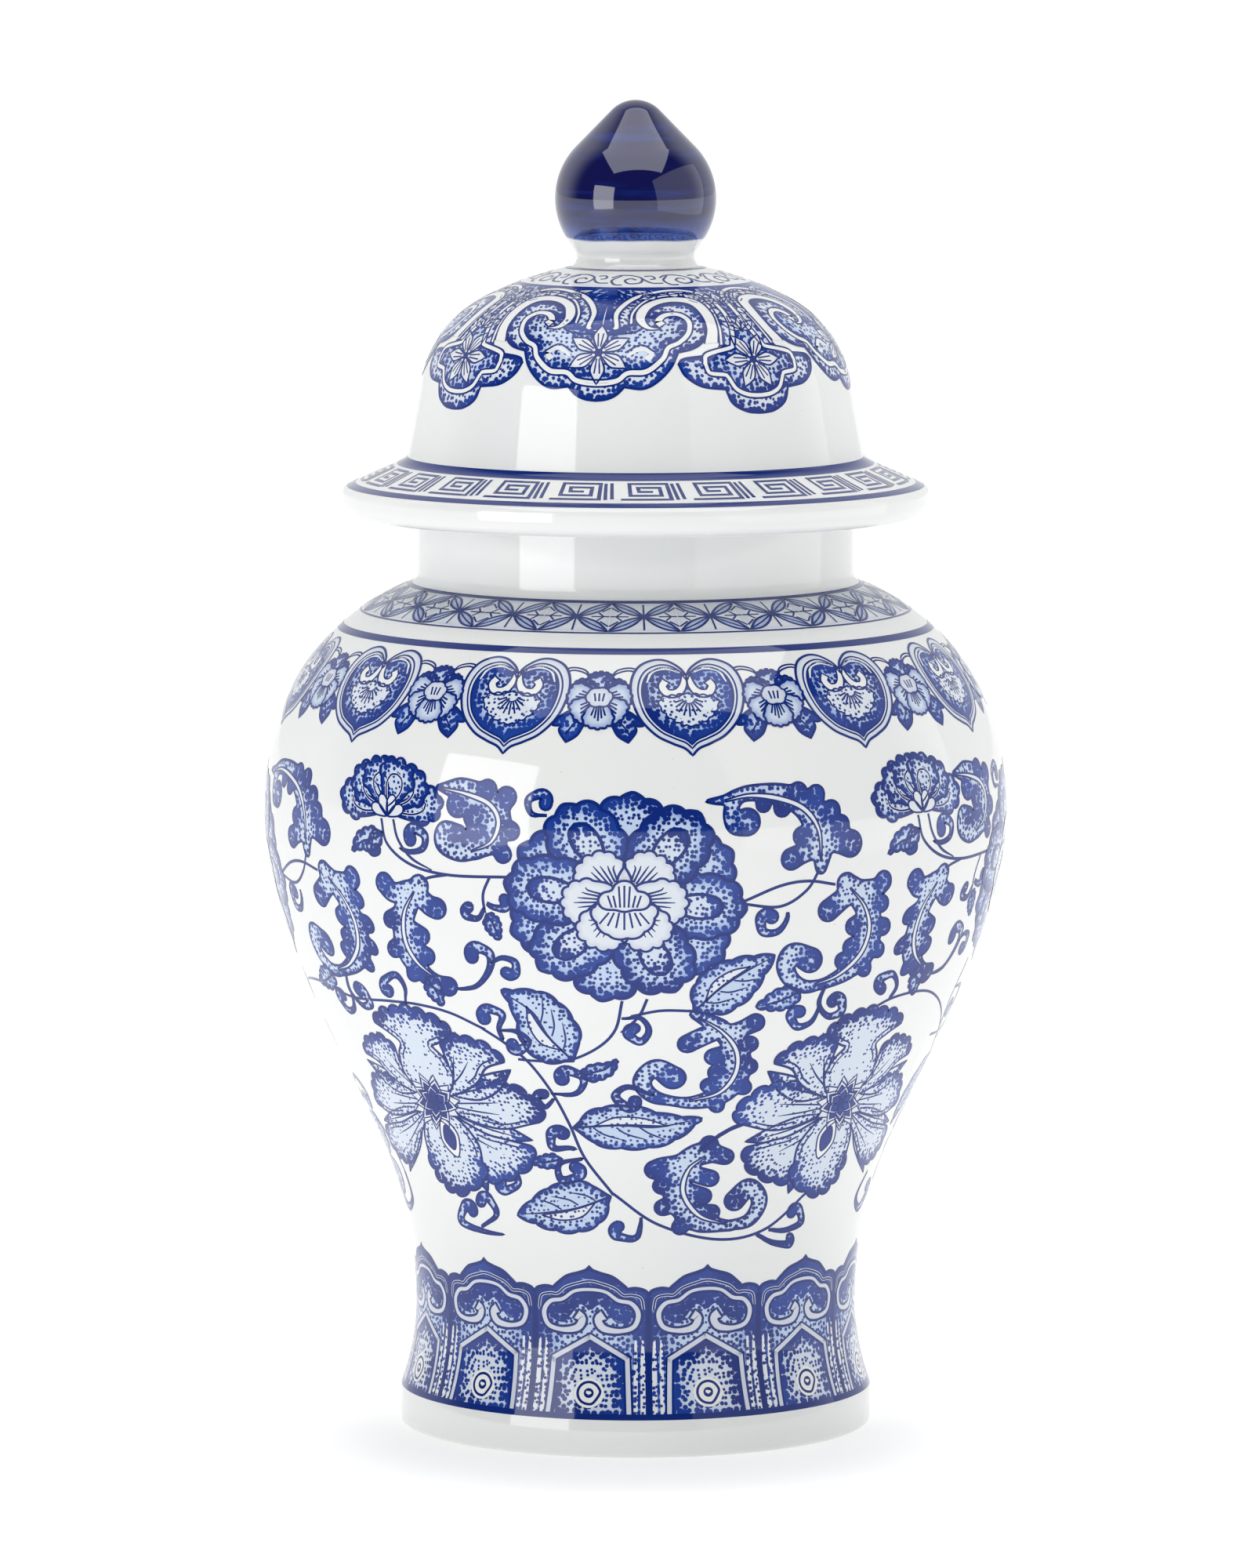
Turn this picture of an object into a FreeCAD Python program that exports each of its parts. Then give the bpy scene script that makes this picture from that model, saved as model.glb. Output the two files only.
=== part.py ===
import FreeCAD, Part
import math
import os
import Sketcher

# A lidded porcelain ginger jar, in millimetres, +Z up.
# The origin is the centre of the foot, on the plane that the jar stands on.
# Every piece is a surface of revolution about Z, so each one is a half section in its own XZ plane.

DIMENSIONS = {
    # Foot: an upright band, a bare ring that the jar stands on, and a recessed base.
    "foot_radius": 54.3,
    "foot_band": 8.5,
    "foot_ring_inner": 48.6,
    "foot_recess": 4.6,
    "foot_rounding": 1.0,
    # Waist: the narrowest place, above the foot.
    "waist_radius": 50.7,
    "waist_level": 28.5,
    "waist_arc": 93.5,
    # Belly: three arcs that run into each other, below, at and above the widest place.
    "belly_radius": 85.5,
    "belly_level": 143.0,
    "belly_arc": 61.5,
    "lower_arc": 162.0,
    "lower_arc_top": 130.5,
    "shoulder_arc": 50.0,
    "shoulder_arc_base": 167.5,
    # Neck: an upright collar with a small hollow where it leaves the shoulder.
    "neck_radius": 50.0,
    "neck_top": 216.5,
    "neck_fillet": 3.0,
    "rim_rounding": 1.5,
    # Thickness of the cast wall, and the inside floor.
    "wall": 4.5,
    "floor_level": 10.0,
    "floor_corner": 14.0,
    # Lid shell. Its own zero level is the seat that rests on the neck.
    "seat_gap": 0.1,
    "seat_radius": 51.6,
    "lid_wall": 4.2,
    "dome_top": 50.4,
    "dome_arc": 75.0,
    "dome_arc_radius": 35.5,
    "dome_corner": 27.0,
    "skirt_angle": 80.0,
    "skirt_fillet": 1.6,
    "brim_angle": 24.0,
    "brim_radius": 67.4,
    "brim_edge": 6.3,
    "brim_drop": 6.6,
    "brim_lip_inner": 62.6,
    "brim_rounding": 2.0,
    "lip_rounding": 3.6,
    "lip_inner_rounding": 1.2,
    "throat_height": 4.0,
    "throat_slope_top": 10.0,
    # Locating ring under the lid: it hangs inside the neck and keeps the lid in the middle.
    "ring_outer": 44.3,
    "ring_inner": 40.3,
    "ring_depth": 13.0,
    "ring_rounding": 1.4,
    # Knob. Its own zero level is its foot on the dome.
    "knob_height": 38.0,
    "knob_foot_radius": 14.6,
    "knob_stem_radius": 13.5,
    "knob_stem_arc": 2.6,
    "knob_radius": 18.5,
    "knob_level": 15.5,
    "knob_arc": 17.0,
    "knob_tip_arc": 7.7,
}

doc = FreeCAD.newDocument("ginger_jar")
sheet = doc.addObject("Spreadsheet::Sheet", "dimensions")
for row, (alias, value) in enumerate(DIMENSIONS.items(), start=1):
    sheet.set("A%d" % row, alias)
    sheet.set("B%d" % row, str(value))
    sheet.setAlias("B%d" % row, alias)
doc.recompute()


def size(alias):
    """The value that the sheet holds for one driving dimension."""
    return float(sheet.get(alias))


def polar(centre, radius, angle):
    """The point of a circle that lies in one direction from its centre."""
    return (centre[0] + radius * math.cos(angle), centre[1] + radius * math.sin(angle))


def direction(start, end):
    """The angle of the line from one point to another."""
    return math.atan2(end[1] - start[1], end[0] - start[0])


def distance(start, end):
    """The length of the line from one point to another."""
    return math.hypot(end[0] - start[0], end[1] - start[1])


# Which end of a sketch line or arc a constraint takes hold of.
START, END, CENTRE = 1, 2, 3
ORIGIN = (-1, 1)


class Section:
    """A half section in a body's XZ plane, with its constraints tied to the sheet."""

    def __init__(self, body, name):
        self.body = body
        self.sketch = body.newObject("Sketcher::SketchObject", name)
        plane = [item for item in body.Origin.OriginFeatures if item.Role == "XZ_Plane"][0]
        self.sketch.AttachmentSupport = (plane, [""])
        self.sketch.MapMode = "FlatFace"

    def line(self, start, end):
        first = FreeCAD.Vector(start[0], start[1], 0)
        last = FreeCAD.Vector(end[0], end[1], 0)
        return self.sketch.addGeometry(Part.LineSegment(first, last), False)

    def arc(self, centre, radius, start_angle, end_angle):
        middle = FreeCAD.Vector(centre[0], centre[1], 0)
        circle = Part.Circle(middle, FreeCAD.Vector(0, 0, 1), radius)
        return self.sketch.addGeometry(Part.ArcOfCircle(circle, start_angle, end_angle), False)

    def add(self, *terms):
        return self.sketch.addConstraint(Sketcher.Constraint(*terms))

    def meet(self, first, first_end, second, second_end):
        self.add("Coincident", first, first_end, second, second_end)

    def run_into(self, first, first_end, second, second_end):
        """The two curves share an end and a direction there."""
        self.add("Tangent", first, first_end, second, second_end)

    def level(self, line):
        self.add("Horizontal", line)

    def upright(self, line):
        self.add("Vertical", line)

    def bind(self, index, name, formula):
        self.sketch.renameConstraint(index, name)
        self.sketch.setExpression("Constraints." + name, formula)

    def radius(self, arc, name, formula):
        value = self.sketch.Geometry[arc].Radius
        self.bind(self.add("Radius", arc, value), name, formula)

    def across(self, curve, end, name, formula):
        """The distance of a point from the axis."""
        value = self.sketch.getPoint(curve, end).x
        self.bind(self.add("DistanceX", *ORIGIN, curve, end, value), name, formula)

    def height(self, curve, end, name, formula):
        """The height of a point over the piece's own zero level."""
        value = self.sketch.getPoint(curve, end).y
        self.bind(self.add("DistanceY", *ORIGIN, curve, end, value), name, formula)

    def on_axis(self, curve, end):
        self.add("PointOnObject", curve, end, -2)

    def on_ground(self, curve, end):
        self.add("PointOnObject", curve, end, -1)

    def revolve(self, name):
        """Turns the section once round the axis."""
        doc.recompute()
        turned = self.body.newObject("PartDesign::Revolution", name)
        turned.Profile = self.sketch
        turned.ReferenceAxis = (self.sketch, ["V_Axis"])
        turned.Angle = 360.0
        self.sketch.Visibility = False
        doc.recompute()
        return turned


def new_body(label):
    body = doc.addObject("PartDesign::Body", label)
    body.Label = label
    return body


def ring_edges(feature, radius, height):
    """The circular edges of a feature that have this radius and this height."""
    found = []
    for number, edge in enumerate(feature.Shape.Edges, start=1):
        # The point where a round top meets the axis counts as an edge with no curve.
        if edge.Degenerated:
            continue
        curve = edge.Curve
        if not isinstance(curve, Part.Circle):
            continue
        if abs(curve.Radius - radius) < 0.01 and abs(curve.Center.z - height) < 0.01:
            found.append("Edge%d" % number)
    if not found:
        raise RuntimeError("no edge of radius %g at height %g" % (radius, height))
    return found


def round_edges(body, feature, name, edges, alias):
    """Rounds the named edges of a feature by a dimension of the sheet."""
    rounded = body.newObject("PartDesign::Fillet", name)
    rounded.Base = (feature, edges)
    rounded.Radius = size(alias)
    rounded.setExpression("Radius", "dimensions." + alias)
    doc.recompute()
    return rounded


def jar_wall_arcs():
    """The circles that the outside of the jar follows, and the angles where they meet."""
    belly = (size("belly_radius") - size("belly_arc"), size("belly_level"))
    low_turn = math.asin((size("lower_arc_top") - belly[1]) / size("belly_arc"))
    high_turn = math.asin((size("shoulder_arc_base") - belly[1]) / size("belly_arc"))
    lower = polar(belly, size("belly_arc") - size("lower_arc"), low_turn)
    shoulder = polar(belly, size("belly_arc") - size("shoulder_arc"), high_turn)
    waist = (size("waist_radius") + size("waist_arc"), size("waist_level"))
    # The straight run between the belly and the waist touches both circles from inside.
    reach = math.acos((size("lower_arc") + size("waist_arc")) / distance(lower, waist))
    slope_turn = direction(lower, waist) + reach
    fillet_x = size("neck_radius") + size("neck_fillet")
    span = size("shoulder_arc") + size("neck_fillet")
    fillet = (fillet_x, shoulder[1] + math.sqrt(span ** 2 - (fillet_x - shoulder[0]) ** 2))
    neck_turn = direction(shoulder, fillet)
    return {
        "belly": belly, "lower": lower, "shoulder": shoulder, "waist": waist, "fillet": fillet,
        "low_turn": low_turn, "high_turn": high_turn, "slope_turn": slope_turn,
        "neck_turn": neck_turn,
    }


def jar_body():
    """The jar: one cast shell with its foot ring, wall, shoulder and neck."""
    body = new_body("jar_body")
    section = Section(body, "jar_section")
    arcs = jar_wall_arcs()
    wall = size("wall")

    def wall_curves(inward):
        """The neck, shoulder, belly and waist, this far inside the outer face."""
        fillet_radius = size("neck_fillet") + inward
        shoulder_radius = size("shoulder_arc") - inward
        lower_radius = size("lower_arc") - inward
        waist_radius = size("waist_arc") + inward
        neck_x = size("neck_radius") - inward
        curves = {}
        curves["neck"] = section.line((neck_x, arcs["fillet"][1]), (neck_x, size("neck_top")))
        curves["fillet"] = section.arc(
            arcs["fillet"], fillet_radius, math.pi, math.pi + arcs["neck_turn"])
        curves["shoulder"] = section.arc(
            arcs["shoulder"], shoulder_radius, arcs["high_turn"], arcs["neck_turn"])
        curves["belly"] = section.arc(
            arcs["belly"], size("belly_arc") - inward, arcs["low_turn"], arcs["high_turn"])
        curves["lower"] = section.arc(
            arcs["lower"], lower_radius, arcs["slope_turn"], arcs["low_turn"])
        curves["slope"] = section.line(
            polar(arcs["waist"], -waist_radius, arcs["slope_turn"]),
            polar(arcs["lower"], lower_radius, arcs["slope_turn"]))
        curves["waist"] = section.arc(
            arcs["waist"], waist_radius, math.pi + arcs["slope_turn"], math.pi)
        section.run_into(curves["neck"], START, curves["fillet"], START)
        section.run_into(curves["fillet"], END, curves["shoulder"], END)
        section.run_into(curves["shoulder"], START, curves["belly"], END)
        section.run_into(curves["belly"], START, curves["lower"], END)
        section.run_into(curves["lower"], START, curves["slope"], END)
        section.run_into(curves["slope"], START, curves["waist"], START)
        return curves

    outer = wall_curves(0.0)
    section.upright(outer["neck"])
    section.across(outer["neck"], END, "neck_radius", "dimensions.neck_radius")
    section.height(outer["neck"], END, "neck_top", "dimensions.neck_top")
    section.radius(outer["fillet"], "neck_fillet", "dimensions.neck_fillet")
    section.radius(outer["shoulder"], "shoulder_arc", "dimensions.shoulder_arc")
    section.height(outer["shoulder"], START, "shoulder_base", "dimensions.shoulder_arc_base")
    section.radius(outer["belly"], "belly_arc", "dimensions.belly_arc")
    section.across(outer["belly"], CENTRE, "belly_centre",
                   "dimensions.belly_radius - dimensions.belly_arc")
    section.height(outer["belly"], CENTRE, "belly_level", "dimensions.belly_level")
    section.height(outer["lower"], END, "lower_top", "dimensions.lower_arc_top")
    section.radius(outer["lower"], "lower_arc", "dimensions.lower_arc")
    section.radius(outer["waist"], "waist_arc", "dimensions.waist_arc")
    section.height(outer["waist"], CENTRE, "waist_centre", "dimensions.waist_level")

    # The foot: a hollow flare from the waist out to the upright band, and the ring under it.
    waist_point = (size("waist_radius"), size("waist_level"))
    band_point = (size("foot_radius"), size("foot_band"))
    spread = band_point[0] - waist_point[0]
    drop = waist_point[1] - band_point[1]
    flare_arc = (spread ** 2 + drop ** 2) / (2 * spread)
    flare_centre = (waist_point[0] + flare_arc, waist_point[1])
    flare = section.arc(flare_centre, flare_arc, math.pi, direction(flare_centre, band_point)
                        % (2 * math.pi))
    band = section.line(band_point, (band_point[0], 0))
    ground = section.line((band_point[0], 0), (size("foot_ring_inner"), 0))
    ring_face = section.line((size("foot_ring_inner"), 0),
                             (size("foot_ring_inner"), size("foot_recess")))
    base = section.line((size("foot_ring_inner"), size("foot_recess")), (0, size("foot_recess")))
    section.run_into(outer["waist"], END, flare, START)
    section.across(flare, START, "waist_radius", "dimensions.waist_radius")
    section.height(flare, START, "waist_level", "dimensions.waist_level")
    section.meet(flare, END, band, START)
    section.upright(band)
    section.across(band, START, "foot_radius", "dimensions.foot_radius")
    section.height(band, START, "foot_band", "dimensions.foot_band")
    section.meet(band, END, ground, START)
    section.on_ground(ground, START)
    section.level(ground)
    section.across(ground, END, "ring_inner", "dimensions.foot_ring_inner")
    section.meet(ground, END, ring_face, START)
    section.upright(ring_face)
    section.meet(ring_face, END, base, START)
    section.height(base, START, "foot_recess", "dimensions.foot_recess")
    section.level(base)
    section.on_axis(base, END)

    # The inside follows the outside, one wall thickness in, down to a flat floor.
    inner = wall_curves(wall)
    for name in ("fillet", "shoulder", "belly", "lower", "waist"):
        section.meet(inner[name], CENTRE, outer[name], CENTRE)
    section.radius(inner["belly"], "inner_belly", "dimensions.belly_arc - dimensions.wall")
    section.radius(inner["waist"], "inner_waist", "dimensions.waist_arc + dimensions.wall")
    rim = section.line((size("neck_radius"), size("neck_top")),
                       (size("neck_radius") - wall, size("neck_top")))
    section.meet(rim, START, outer["neck"], END)
    section.meet(rim, END, inner["neck"], END)
    section.level(rim)
    section.upright(inner["neck"])
    inner_x = size("waist_radius") - wall
    corner = size("floor_corner")
    corner_centre = (inner_x - corner, size("floor_level") + corner)
    well = section.line((inner_x, size("waist_level")), (inner_x, corner_centre[1]))
    floor_arc = section.arc(corner_centre, corner, -math.pi / 2, 0)
    floor = section.line((corner_centre[0], size("floor_level")), (0, size("floor_level")))
    axis = section.line((0, size("floor_level")), (0, size("foot_recess")))
    section.run_into(inner["waist"], END, well, START)
    section.upright(well)
    section.run_into(well, END, floor_arc, END)
    section.radius(floor_arc, "floor_corner", "dimensions.floor_corner")
    section.run_into(floor_arc, START, floor, START)
    section.level(floor)
    section.on_axis(floor, END)
    section.height(floor, END, "floor_level", "dimensions.floor_level")
    section.meet(axis, START, floor, END)
    section.meet(axis, END, base, END)

    turned = section.revolve("jar_revolution")
    rim_inner = size("neck_radius") - wall
    rim_edges = ring_edges(turned, size("neck_radius"), size("neck_top"))
    rim_edges += ring_edges(turned, rim_inner, size("neck_top"))
    rimmed = round_edges(body, turned, "rim_rounding", rim_edges, "rim_rounding")
    foot_edges = ring_edges(rimmed, size("foot_radius"), 0)
    foot_edges += ring_edges(rimmed, size("foot_ring_inner"), 0)
    round_edges(body, rimmed, "foot_rounding", foot_edges, "foot_rounding")
    return body


def crossing(first, first_angle, second, second_angle):
    """Where two lines cross, each given by a point and a direction."""
    turn = math.sin(second_angle - first_angle)
    offset_x = second[0] - first[0]
    offset_y = second[1] - first[1]
    along = (offset_x * math.sin(second_angle) - offset_y * math.cos(second_angle)) / turn
    return polar(first, along, first_angle)


def lid_shell():
    """The lid: a hollow dome with a sloping brim that hangs over the neck."""
    body = new_body("lid_shell")
    section = Section(body, "lid_section")
    wall = size("lid_wall")
    brim_fall = -math.radians(size("brim_angle"))
    skirt_fall = -math.radians(size("skirt_angle"))
    dome_centre = (0, size("dome_top") - math.sqrt(
        size("dome_arc") ** 2 - size("knob_foot_radius") ** 2))
    seat_turn = math.acos(size("knob_foot_radius") / size("dome_arc"))
    corner_turn = math.acos(size("dome_arc_radius") / size("dome_arc"))
    corner_centre = polar(dome_centre, size("dome_arc") - size("dome_corner"), corner_turn)
    skirt_turn = skirt_fall + math.pi / 2
    skirt_top = polar(corner_centre, size("dome_corner"), skirt_turn)

    # A small hollow joins the skirt to the brim, on the inside of the bend between them.
    edge_level = size("brim_edge") - size("brim_drop")
    brim_corner = (size("brim_radius"), edge_level)
    bend_point = crossing(skirt_top, skirt_fall, brim_corner, brim_fall)
    cut_back = size("skirt_fillet") * math.tan((brim_fall - skirt_fall) / 2)
    bend_start = polar(bend_point, -cut_back, skirt_fall)
    bend_end = polar(bend_point, cut_back, brim_fall)
    bend_centre = polar(bend_start, size("skirt_fillet"), skirt_turn)

    knob_seat = section.line((0, size("dome_top")), (size("knob_foot_radius"), size("dome_top")))
    dome = section.arc(dome_centre, size("dome_arc"), corner_turn, seat_turn)
    corner = section.arc(corner_centre, size("dome_corner"), skirt_turn, corner_turn)
    skirt = section.line(skirt_top, bend_start)
    bend = section.arc(bend_centre, size("skirt_fillet"), math.pi + skirt_turn,
                       math.pi * 3 / 2 + brim_fall)
    brim = section.line(bend_end, brim_corner)
    edge = section.line(brim_corner, (size("brim_radius"), -size("brim_drop")))
    lip = section.line((size("brim_radius"), -size("brim_drop")),
                       (size("brim_lip_inner"), -size("brim_drop")))
    under = section.line((size("brim_lip_inner"), -size("brim_drop")), (size("seat_radius"), 0))
    seat = section.line((size("seat_radius"), 0), (size("ring_inner"), 0))
    section.on_axis(knob_seat, START)
    section.level(knob_seat)
    section.height(knob_seat, START, "dome_top", "dimensions.dome_top")
    section.across(knob_seat, END, "knob_foot_radius", "dimensions.knob_foot_radius")
    section.meet(knob_seat, END, dome, END)
    section.on_axis(dome, CENTRE)
    section.radius(dome, "dome_arc", "dimensions.dome_arc")
    section.across(dome, START, "dome_arc_radius", "dimensions.dome_arc_radius")
    section.run_into(dome, START, corner, END)
    section.radius(corner, "dome_corner", "dimensions.dome_corner")
    section.run_into(corner, START, skirt, START)
    section.bind(section.add("Angle", skirt, skirt_fall), "skirt_angle",
                 "-dimensions.skirt_angle")
    section.run_into(skirt, END, bend, START)
    section.radius(bend, "skirt_fillet", "dimensions.skirt_fillet")
    section.run_into(bend, END, brim, START)
    section.bind(section.add("Angle", brim, brim_fall), "brim_angle", "-dimensions.brim_angle")
    section.meet(brim, END, edge, START)
    section.across(edge, START, "brim_radius", "dimensions.brim_radius")
    section.upright(edge)
    section.bind(section.add("Distance", edge, size("brim_edge")), "brim_edge",
                 "dimensions.brim_edge")
    section.meet(edge, END, lip, START)
    section.level(lip)
    section.bind(section.add("DistanceY", lip, END, *ORIGIN, size("brim_drop")),
                 "brim_drop", "dimensions.brim_drop")
    section.across(lip, END, "brim_lip_inner", "dimensions.brim_lip_inner")
    section.meet(lip, END, under, START)
    section.meet(under, END, seat, START)
    section.on_ground(seat, START)
    section.across(seat, START, "seat_radius", "dimensions.seat_radius")
    section.level(seat)
    section.across(seat, END, "ring_inner", "dimensions.ring_inner")

    # The inside: a throat over the locating ring, a slope out to the skirt, then the dome.
    inner_corner = size("dome_corner") - wall
    inner_skirt_top = polar(corner_centre, inner_corner, skirt_turn)
    slope_top = crossing(inner_skirt_top, skirt_fall, (0, size("throat_slope_top")), 0)
    throat = section.line((size("ring_inner"), 0), (size("ring_inner"), size("throat_height")))
    slope = section.line((size("ring_inner"), size("throat_height")), slope_top)
    inner_skirt = section.line(slope_top, inner_skirt_top)
    inner_bend = section.arc(corner_centre, inner_corner, skirt_turn, corner_turn)
    inner_dome = section.arc(dome_centre, size("dome_arc") - wall, corner_turn, math.pi / 2)
    axis = section.line((0, dome_centre[1] + size("dome_arc") - wall), (0, size("dome_top")))
    section.meet(throat, START, seat, END)
    section.upright(throat)
    section.height(throat, END, "throat_height", "dimensions.throat_height")
    section.meet(throat, END, slope, START)
    section.meet(slope, END, inner_skirt, START)
    section.height(inner_skirt, START, "slope_top", "dimensions.throat_slope_top")
    section.add("Parallel", inner_skirt, skirt)
    section.run_into(inner_skirt, END, inner_bend, START)
    section.meet(inner_bend, CENTRE, corner, CENTRE)
    section.radius(inner_bend, "inner_corner", "dimensions.dome_corner - dimensions.lid_wall")
    section.run_into(inner_bend, END, inner_dome, START)
    section.meet(inner_dome, CENTRE, dome, CENTRE)
    section.on_axis(inner_dome, END)
    section.meet(axis, START, inner_dome, END)
    section.meet(axis, END, knob_seat, START)

    turned = section.revolve("lid_revolution")
    brim_edges = ring_edges(turned, size("brim_radius"), edge_level)
    brimmed = round_edges(body, turned, "brim_rounding", brim_edges, "brim_rounding")
    lip_edges = ring_edges(brimmed, size("brim_radius"), -size("brim_drop"))
    lipped = round_edges(body, brimmed, "lip_rounding", lip_edges, "lip_rounding")
    inner_edges = ring_edges(lipped, size("brim_lip_inner"), -size("brim_drop"))
    round_edges(body, lipped, "lip_inner_rounding", inner_edges, "lip_inner_rounding")
    body.setExpression("Placement.Base.z", "dimensions.neck_top + dimensions.seat_gap")
    return body


def lid_locating_ring():
    """The plain ring under the lid that hangs inside the neck."""
    body = new_body("lid_locating_ring")
    section = Section(body, "ring_section")
    outer, inner, depth = size("ring_outer"), size("ring_inner"), size("ring_depth")
    top = section.line((inner, 0), (outer, 0))
    outside = section.line((outer, 0), (outer, -depth))
    bottom = section.line((outer, -depth), (inner, -depth))
    inside = section.line((inner, -depth), (inner, 0))
    for first, second in ((top, outside), (outside, bottom), (bottom, inside), (inside, top)):
        section.meet(first, END, second, START)
    section.level(top)
    section.level(bottom)
    section.upright(outside)
    section.upright(inside)
    section.on_ground(top, START)
    section.across(top, START, "ring_inner", "dimensions.ring_inner")
    section.across(top, END, "ring_outer", "dimensions.ring_outer")
    section.bind(section.add("DistanceY", bottom, START, *ORIGIN, depth),
                 "ring_depth", "dimensions.ring_depth")
    turned = section.revolve("ring_revolution")
    low_edges = ring_edges(turned, outer, -depth) + ring_edges(turned, inner, -depth)
    round_edges(body, turned, "ring_rounding", low_edges, "ring_rounding")
    body.setExpression("Placement.Base.z", "dimensions.neck_top + dimensions.seat_gap")
    return body


def lid_knob():
    """The onion-shaped knob on its short stem."""
    body = new_body("lid_knob")
    section = Section(body, "knob_section")
    stem, ball, tip = size("knob_stem_arc"), size("knob_arc"), size("knob_tip_arc")
    ball_centre = (size("knob_radius") - ball, size("knob_level"))
    tip_centre = (0, size("knob_height") - tip)
    stem_x = size("knob_stem_radius") + stem
    stem_rise = math.sqrt(stem ** 2 - (stem_x - size("knob_foot_radius")) ** 2)
    stem_centre = (stem_x, stem_rise)
    foot_turn = math.atan2(-stem_rise, size("knob_foot_radius") - stem_x) % (2 * math.pi)
    # The line under the ball touches the stem's hollow and the ball from opposite sides.
    lower_reach = math.acos((stem + ball) / distance(stem_centre, ball_centre))
    lower_turn = direction(ball_centre, stem_centre) + lower_reach
    # The line over the ball touches the ball and the tip from the same side.
    upper_reach = math.acos((ball - tip) / distance(ball_centre, tip_centre))
    upper_turn = direction(ball_centre, tip_centre) - upper_reach

    foot = section.line((0, 0), (size("knob_foot_radius"), 0))
    hollow = section.arc(stem_centre, stem, math.pi + lower_turn, foot_turn)
    lower = section.line(polar(stem_centre, -stem, lower_turn),
                         polar(ball_centre, ball, lower_turn))
    round_side = section.arc(ball_centre, ball, lower_turn, upper_turn)
    upper = section.line(polar(ball_centre, ball, upper_turn),
                         polar(tip_centre, tip, upper_turn))
    point = section.arc(tip_centre, tip, upper_turn, math.pi / 2)
    axis = section.line((0, size("knob_height")), (0, 0))
    section.meet(foot, START, *ORIGIN)
    section.level(foot)
    section.across(foot, END, "foot_radius", "dimensions.knob_foot_radius")
    section.meet(foot, END, hollow, END)
    section.radius(hollow, "stem_arc", "dimensions.knob_stem_arc")
    section.across(hollow, CENTRE, "stem_centre",
                   "dimensions.knob_stem_radius + dimensions.knob_stem_arc")
    section.run_into(hollow, START, lower, START)
    section.run_into(lower, END, round_side, START)
    section.radius(round_side, "ball_arc", "dimensions.knob_arc")
    section.across(round_side, CENTRE, "ball_centre",
                   "dimensions.knob_radius - dimensions.knob_arc")
    section.height(round_side, CENTRE, "ball_level", "dimensions.knob_level")
    section.run_into(round_side, END, upper, START)
    section.run_into(upper, END, point, START)
    section.on_axis(point, CENTRE)
    section.radius(point, "tip_arc", "dimensions.knob_tip_arc")
    section.on_axis(point, END)
    section.height(point, END, "knob_height", "dimensions.knob_height")
    section.meet(axis, START, point, END)
    section.meet(axis, END, foot, START)
    section.revolve("knob_revolution")
    body.setExpression("Placement.Base.z",
                       "dimensions.neck_top + dimensions.seat_gap + dimensions.dome_top")
    return body


def check(bodies):
    """Stops the script if any object has failed or a piece is not one good solid."""
    for item in doc.Objects:
        if "Invalid" in item.State or "Error" in item.State:
            raise RuntimeError("%s failed: %s" % (item.Label, item.State))
        if item.TypeId == "Sketcher::SketchObject" and item.solve() != 0:
            raise RuntimeError("%s cannot be solved" % item.Label)
    for body in bodies:
        shape = body.Shape
        if shape.isNull() or not shape.isValid() or len(shape.Solids) != 1:
            raise RuntimeError("%s is not one valid solid" % body.Label)


bodies = [jar_body(), lid_shell(), lid_locating_ring(), lid_knob()]
doc.recompute()
check(bodies)
os.makedirs("parts", exist_ok=True)
for body in bodies:
    body.Shape.exportStep("parts/%s.step" % body.Label)
    box = body.Shape.optimalBoundingBox()
    print("%s: volume %.1f cm3, radius %.2f, height %.2f to %.2f" % (
        body.Label, body.Shape.Volume / 1000, box.XMax, box.ZMin, box.ZMax))
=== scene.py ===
# Blender model of a blue-and-white lidded ginger jar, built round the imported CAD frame.
import math
import bpy
import numpy as np
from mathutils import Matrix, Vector, geometry


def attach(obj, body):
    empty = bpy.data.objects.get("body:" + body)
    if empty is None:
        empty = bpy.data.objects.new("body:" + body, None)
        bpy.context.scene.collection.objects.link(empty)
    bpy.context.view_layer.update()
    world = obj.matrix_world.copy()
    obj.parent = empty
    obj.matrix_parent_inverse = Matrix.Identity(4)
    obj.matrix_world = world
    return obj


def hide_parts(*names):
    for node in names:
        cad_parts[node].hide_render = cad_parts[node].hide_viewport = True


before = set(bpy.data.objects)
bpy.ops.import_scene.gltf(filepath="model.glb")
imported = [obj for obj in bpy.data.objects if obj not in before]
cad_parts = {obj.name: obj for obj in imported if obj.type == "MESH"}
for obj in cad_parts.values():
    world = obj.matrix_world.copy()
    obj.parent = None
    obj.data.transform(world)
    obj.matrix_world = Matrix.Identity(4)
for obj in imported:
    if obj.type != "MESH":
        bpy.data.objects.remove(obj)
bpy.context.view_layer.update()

MM = 0.001
TURN = 2 * math.pi

# ---------------------------------------------------------------- sizes, in millimetres
# The same driving sizes as the CAD model, so that every drawn line lies on the same surface.
FOOT_RADIUS, FOOT_BAND, FOOT_RING_INNER, FOOT_RECESS, FOOT_ROUNDING = 54.3, 8.5, 48.6, 4.6, 1.0
WAIST_RADIUS, WAIST_LEVEL, WAIST_ARC = 50.7, 28.5, 93.5
BELLY_RADIUS, BELLY_LEVEL, BELLY_ARC = 85.38, 143.0, 61.5
LOWER_ARC, LOWER_ARC_TOP, SHOULDER_ARC, SHOULDER_ARC_BASE = 162.0, 130.5, 50.0, 167.5
NECK_RADIUS, NECK_TOP, NECK_FILLET, RIM_ROUNDING = 50.0, 216.5, 3.0, 1.5
WALL, FLOOR_LEVEL, FLOOR_CORNER = 4.5, 10.0, 14.0
SEAT_GAP, SEAT_RADIUS, LID_WALL = 0.1, 51.6, 4.2
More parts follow.
